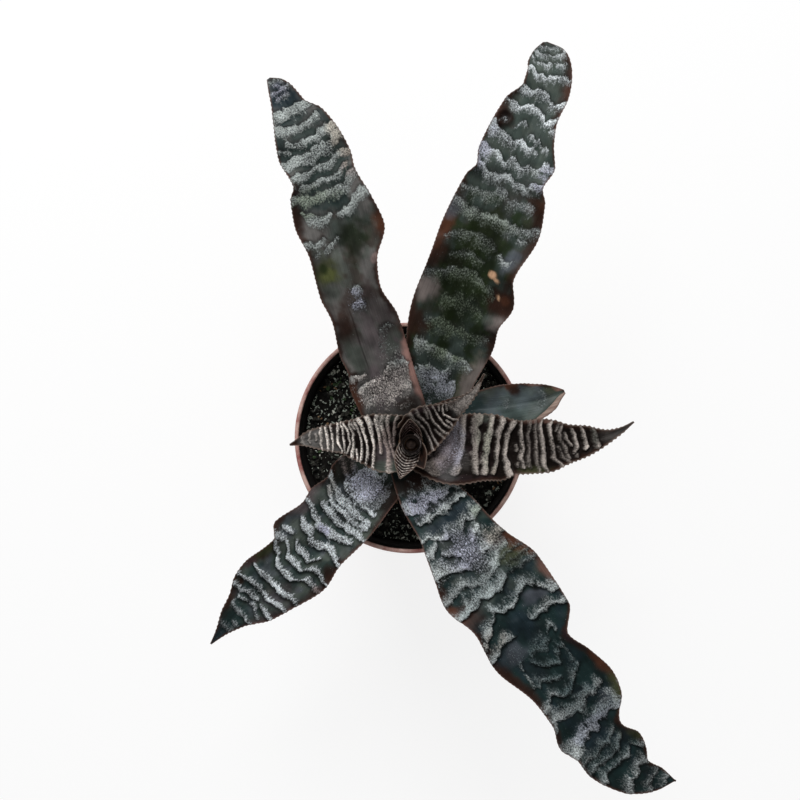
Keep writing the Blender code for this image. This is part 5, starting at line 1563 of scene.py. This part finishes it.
def scatter(name, skin, count, size, stretch, seed, lift=0.1, flat=1.0):
    """Grains on the soil, in loose clusters of four: irregular pebbles of 20 faces each.

    size is the least and the most in millimetres, and a grain is up to stretch times as long.
    """
    rng = random.Random(seed)
    wall = wall_radius(SOIL_TOP) - WALL - 0.1
    bm, handful = bmesh.new(), bmesh.new()
    for i in range(count):
        turn, out = rng.uniform(0, 2 * math.pi), SCATTER_RADIUS * math.sqrt(rng.random())
        if i % 4 == 0:
            cluster = out * math.cos(turn), out * math.sin(turn)
        x, y = (at + rng.gauss(0, 2.5) for at in cluster)
        wide = rng.uniform(*size)
        # The furthest corner of a grain stays off the pot's wall.
        inward = min(1, (wall - 0.6 * stretch * wide) / math.hypot(x, y))
        x, y = x * inward, y * inward
        grown = bmesh.ops.create_icosphere(handful, subdivisions=1, radius=wide / 2)["verts"]
        for vert in grown:
            vert.co *= rng.uniform(0.72, 1.2)
        bmesh.ops.scale(handful, vec=(rng.uniform(1, stretch), 1, flat), verts=grown)
        spin = Matrix.Rotation(rng.uniform(0, 2 * math.pi), 3, "Z")
        tilt = Matrix.Rotation(rng.uniform(-0.6, 0.6), 3, "Y")
        bmesh.ops.rotate(handful, verts=grown, cent=(0, 0, 0), matrix=spin @ tilt)
        bmesh.ops.translate(handful, verts=grown, vec=(x, y, soil_height(x, y) + lift * wide))
        # Operators slow down as a bmesh grows, so the grains are made by the handful.
        if i % 50 == 49 or i == count - 1:
            batch = bpy.data.meshes.new("batch")
            handful.to_mesh(batch)
            bm.from_mesh(batch)
            bpy.data.meshes.remove(batch)
            handful.clear()
    return finish(bm, name, skin, smooth_angle=30)


def build_stem(skin):
    """The short stem, ringed by the scars of shed leaves."""
    foot = SOIL_TOP - STEM_DEPTH + CLEAR
    top = POT_HEIGHT + STEM_TOP
    profile = [(0, foot), (STEM_RADIUS - 1.5, foot), (STEM_RADIUS - 0.4, foot + 6)]
    steps = 3 * STEM_SCARS
    for i in range(steps + 1):
        high = foot + 8 + (top - foot - 9) * i / steps
        profile.append((STEM_RADIUS - 0.05 - 0.28 * (i % 3), high))
    profile += [(STEM_RADIUS - 0.5, top), (0, top)]
    return finish(turned(profile, 48, (STEM_X, STEM_Y)), "leaf_scarred_stem", skin, smooth_angle=40)


def blade_relief(leaf, along, across, half, inside, beyond, cover, fade):
    """Height of the upper face over its smooth form: ribs under the bands, knobs, waves, groove."""
    steep, quiet = 1.0, 1.0
    if leaf.start == ROOT_RADIUS:
        # A full-grown leaf's ribs are steeper towards the root, and low where it nests.
        steep, quiet = np.where(beyond > 0, 0.7, 1.3), 0.35 + 0.65 * ease(along, 22, 38)
    relief = leaf.rib * (2 * ease(inside, -steep, 0.7) - 1) * fade * quiet
    relief = relief * (1 - 0.3 * across ** 2) * cover
    for v, s, radius, height in leaf.knobs:
        away = np.hypot((across - v) * half, along - s) / radius
        relief = relief + height * np.exp(-((away - 0.75) / 0.28) ** 2)
    ripple = patchwork(across * half, along * 0.8, 7.0, leaf.root, 2)
    relief = relief + WAVINESS * ripple * ease(along, 16, 40) * fade
    groove = np.exp(-((across * half) / 0.8) ** 2)
    return relief - GROOVE * groove * ease(along, 20, 45) * fade


def build_blade(leaf, skin, piece_name):
    """A fine grid laid on the leaf's upper face and extruded downwards, thin at its margins."""
    tracks = midrib_tracks(leaf)
    end = tracks[0][-1][0]
    rows = round((end - leaf.start) / leaf.rows)
    bm, number, sideways, up = numbered_grid(leaf.columns, rows)
    across = 2 * np.round(sideways * leaf.columns) / leaf.columns - 1
    along = leaf.start + (end - leaf.start) * up
    half = half_widths(leaf, along, across)
    wobble = patchwork(across * half, along, 4.0, leaf.root + 9)
    sway = patchwork(across * half, along * 0.22, 2.6, leaf.root + 14, 2)
    inside, beyond, cover = band_field(leaf, along, across, half, wobble, sway)
    fade = 1 - ease(along, end - 9, end - 2)
    relief = blade_relief(leaf, along, across, half, inside, beyond, cover, fade)
    spine = np.where(np.abs(across) > 0.999, leaf.teeth * tooth_height(along) * fade, 0)
    folded = np.zeros(len(along))
    if leaf.fold:
        past = (through(leaf.fold, along) - across) * half
        folded = ease(past, 0, 0.45) * (along > leaf.fold[0][0])
        relief = relief + folded * (0.9 - 0.5 * ease(past, 1, 5))
    places = blade_surface(leaf, tracks, along, across, spine, relief)
    for vert in bm.verts:
        vert.co = places[vert[number]]
    bm.normal_update()
    inward = np.array([vert.normal[:] for vert in bm.verts])
    inward *= -np.sign(inward[:, 2:3])
    edge = (1 - np.abs(across)) * half
    thick = EDGE_BLADE + (BLADE - EDGE_BLADE) * ease(edge, 0.0, 4.0)
    offsets = inward * thick[:, None]
    obj, source, below = thickened(bm, number, places, offsets, piece_name, skin, smooth_angle=60)

    sites = along, across, half
    ground = mottled(leaf, np.tile(linear(leaf.ground), (len(along), 1)), *sites)
    ground = with_stains_and_painted_light(leaf, "ground", bordered(leaf, ground, *sites), *sites)
    # Painted shade: the tissue is darkened where a band shades it, on the side towards the tip.
    ground *= (1 - leaf.painted_band_shade * ease(inside, -2.2, -0.3) * ease(beyond, -0.2, 0.4))[:, None]
    scurf = with_stains_and_painted_light(leaf, "scurf", np.tile(linear(BARE), (len(along), 1)), *sites)[:, 0]
    silver = with_stains_and_painted_light(leaf, "silver", np.tile(linear(leaf.silver), (len(along), 1)), *sites)
    silver *= 1 + 0.35 * scurf[:, None]
    blade = np.stack((across * half, along, folded), axis=1)[source]
    blade[:, 2] = np.maximum(blade[:, 2], below)
    store(obj.data, {
        "blade": blade,
        "band": np.stack((inside, beyond, cover), axis=1)[source],
        "ground": ground[source],
        "silver": silver[source],
        "scurf": scurf[source],
        "edge": edge[source],
    })
    return obj


def build_roll(skin):
    """The innermost leaves, rolled up like a cigar and cut off at a slant."""
    bm, number, around, up = numbered_grid(columns=300, rows=40)
    turn = 2 * math.pi * ROLL_TURNS * around
    height = ROLL_HEIGHT * (1 - 0.35 * around) + 0.6 * np.sin(turn)
    # Rings of scales, 0.9 mm apart, waver up and down as they go round.
    ring = 0.5 + 0.5 * np.cos(2 * math.pi * (height * up / 0.9 + 0.3 * np.sin(3 * turn)))
    radius = (ROLL_INNER + ROLL_PITCH * ROLL_TURNS * around) * (1.12 - 0.14 * up) + 0.1 * ring
    # The innermost turns press against each other, the outer ones stand free.
    wall = 0.3 + 0.25 * (1 - ease(around, 0.4, 0.6))
    out = np.stack((np.cos(turn), np.sin(turn), np.zeros(len(turn))), axis=1)
    centres = np.stack(
        (np.full(len(turn), STEM_X), np.full(len(turn), STEM_Y), CORE_FOOT + height * up), axis=1
    )
    places = out * radius[:, None] + centres
    for vert in bm.verts:
        vert.co = places[vert[number]]
    offsets = -out * wall[:, None]
    obj, source, _ = thickened(bm, number, places, offsets, "heart_roll", skin, smooth_angle=50)
    outer = ease(around, 0.5, 0.8)
    inside = np.maximum(ring - 0.85, (up > 0.97) * 0.9 - 0.7) - 1.2 * (1 - outer)
    flat = np.zeros(len(turn))
    # Painted shade: the scales are darkened to 0.35 of their colour on the inner turns and 0.9 on
    # the outer ones, for the shade deep in the roll.
    store(obj.data, {
        "blade": np.stack((turn * 3, height * up, flat), axis=1)[source],
        "band": np.stack((inside, flat, flat + 0.9), axis=1)[source],
        "ground": np.tile(np.array(linear(BLACK)) * 1.3, (len(source), 1)),
        "silver": (np.array(linear(ASHEN)) * (0.35 + 0.55 * outer)[:, None])[source],
        "edge": np.full(len(source), 5.0),
        "scurf": np.zeros(len(source)),
    })
    return obj


def build_bud(skin):
    """The tip of the youngest leaf, in the middle of the roll."""
    top = CORE_FOOT + ROLL_HEIGHT - 1.4
    profile = [
        (0, CORE_FOOT), (2.2, CORE_FOOT), (2.3, top - 1.6), (2.1, top - 0.7), (1.5, top - 0.35),
        (1.3, top - 0.5), (0.7, top - 0.1), (0, top),
    ]
    return finish(turned(profile, 32, (STEM_X, STEM_Y)), "heart_bud", skin, smooth_angle=30)


# --- the plant in its pot ----------------------------------------------------------------------

banded = leaf_finish(
    "banded_leaf", jag=2.1, zigzag=1.8, soft=0.35, haze=1.3, closed=0.15, sparkle=1.0,
    veining=0.3, gloss=0.07, underside=("#7E8478", "#A8ADA2"), margin="#5E453D",
    roughness=0.45, felt_roughness=0.85,
)
bronze = leaf_finish(
    "bronze_leaf", jag=0.55, zigzag=0.4, soft=0.25, haze=0.8, closed=0.55, sparkle=0.65,
    veining=0.8, gloss=0.045, underside=("#77736A", "#A39E92"), margin="#72635A",
    roughness=0.5, felt_roughness=0.85,
)
plain = leaf_finish(
    "plain_leaf", jag=1.6, zigzag=1.0, soft=0.3, haze=1.2, closed=0.2, sparkle=1.0,
    veining=0.2, gloss=0.14, underside=("#64524A", "#8E7C72"), margin="#5E463E",
    roughness=0.4, felt_roughness=0.8,
)
clay = clay_plastic()
peat = granular("peat", ("#030303", "#0A0908", "#1C1915"), 1.2, 0.95)
# The crumbs' lighter greys are partly painted glints of wet peat.
crumb = granular("peat_crumbs", ("#050505", "#0E0E0C", "#2A2925", "#56564F"), 2.6, 0.8)
perlite = granular("expanded_perlite", ("#8E8E84", "#B4B5AB", "#D2D3CA"), 0.7, 0.9)
grit = granular("grey_grit", ("#3F443E", "#858C82", "#C6CAC0"), 0.9, 0.8)
algae = granular("green_algae", ("#1C2A1A", "#2F4029", "#4A5A3A"), 0.6, 0.9)
bark_chip = granular("bark_chips", ("#3A2A1E", "#6A523C", "#9A8264"), 0.8, 0.85)
bud = granular("bud_tip", ("#1A1210", "#2C211C", "#40332C"), 1.6, 0.7)
bark = granular("stem_bark", ("#2E1F16", "#4F3A2A", "#7A614A"), 1.5, 0.85)

SKINS = {
    "leaf_3_smooth": (plain, "plain_leaf"),
    "leaf_6_right": (bronze, "bronze_leaf"),
    "leaf_7_left": (bronze, "bronze_leaf"),
    "leaf_8_young": (bronze, "bronze_leaf"),
}


def place(piece, slot, *nodes):
    """Fixes a piece to the one body and hides the solids that it stands for."""
    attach(piece, "root")
    if nodes:
        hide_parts(*nodes)


place(build_pot(clay), "clay_plastic", "pot")
place(build_soil(peat), "peat", "soil")
place(scatter("soil_crumbs", crumb, 1500, (0.7, 2.6), 1.6, 3), "peat")
place(scatter("soil_perlite", perlite, 260, (0.3, 1.6), 2.2, 11, lift=0.35), "peat")
place(scatter("soil_grit", grit, 1900, (0.25, 1.05), 2.8, 29, lift=0.4), "peat")
place(scatter("soil_algae", algae, 110, (0.6, 1.8), 1.8, 17, lift=0.3), "peat")
place(scatter("soil_bark_chips", bark_chip, 60, (0.6, 1.3), 4.0, 23, lift=0.4, flat=0.5), "peat")
place(build_stem(bark), "stem_bark", "stem")
for leaf in LEAVES:
    skin, slot = SKINS.get(leaf.name, (banded, "banded_leaf"))
    place(build_blade(leaf, skin, leaf.name + "_blade"), slot, leaf.name)
place(build_roll(bronze), "bronze_leaf", "heart")
place(build_bud(bud), "bronze_leaf")
for scale in HEART_SCALES:
    place(build_blade(scale, bronze, "heart_" + scale.name), "bronze_leaf")


# --- stage -------------------------------------------------------------------------------------


def build_stage():
    """A white paper floor, even light, a softbox overhead, and the camera above the pot."""
    scene = bpy.context.scene
    scene.view_settings.view_transform = "Standard"
    bm = bmesh.new()
    bmesh.ops.create_grid(bm, x_segments=1, y_segments=1, size=6000)
    paper, shader, _ = new_material("paper_floor")
    # The paper glows, so it stays white where the plant shades it.
    feed(shader, {
        "Base Color": (0.15, 0.15, 0.15, 1), "Roughness": 0.9, "Specular IOR Level": 0.0,
        "Emission Color": (1, 1, 1, 1), "Emission Strength": 0.83,
    })
    finish(bm, "paper_floor", paper)

    world = bpy.data.worlds.new("soft_box")
    world.use_nodes = True
    feed(world.node_tree.nodes["Background"], {"Color": (1, 1, 1, 1), "Strength": 0.36})
    scene.world = world

    lamp = bpy.data.lights.new("overhead_softbox", "AREA")
    lamp.shape, lamp.size, lamp.size_y, lamp.energy = "RECTANGLE", 0.9, 0.9, 24.0
    lamp_object = bpy.data.objects.new("overhead_softbox", lamp)
    lamp_object.location = (-0.25, 1.1, 1.0)
    aim = Vector((0, 0, POT_HEIGHT * MM)) - lamp_object.location
    lamp_object.rotation_euler = aim.to_track_quat("-Z", "Y").to_euler()
    scene.collection.objects.link(lamp_object)

    camera = bpy.data.cameras.new("camera")
    camera.sensor_width = SENSOR
    camera.lens = SENSOR * CAMERA_DISTANCE * RIM_WIDTH_SHARE / (2 * RIM_RADIUS)
    camera_object = bpy.data.objects.new("camera", camera)
    camera_object.location = (CAMERA_X * MM, CAMERA_Y * MM, (POT_HEIGHT + CAMERA_DISTANCE) * MM)
    scene.collection.objects.link(camera_object)
    scene.camera = camera_object


build_stage()
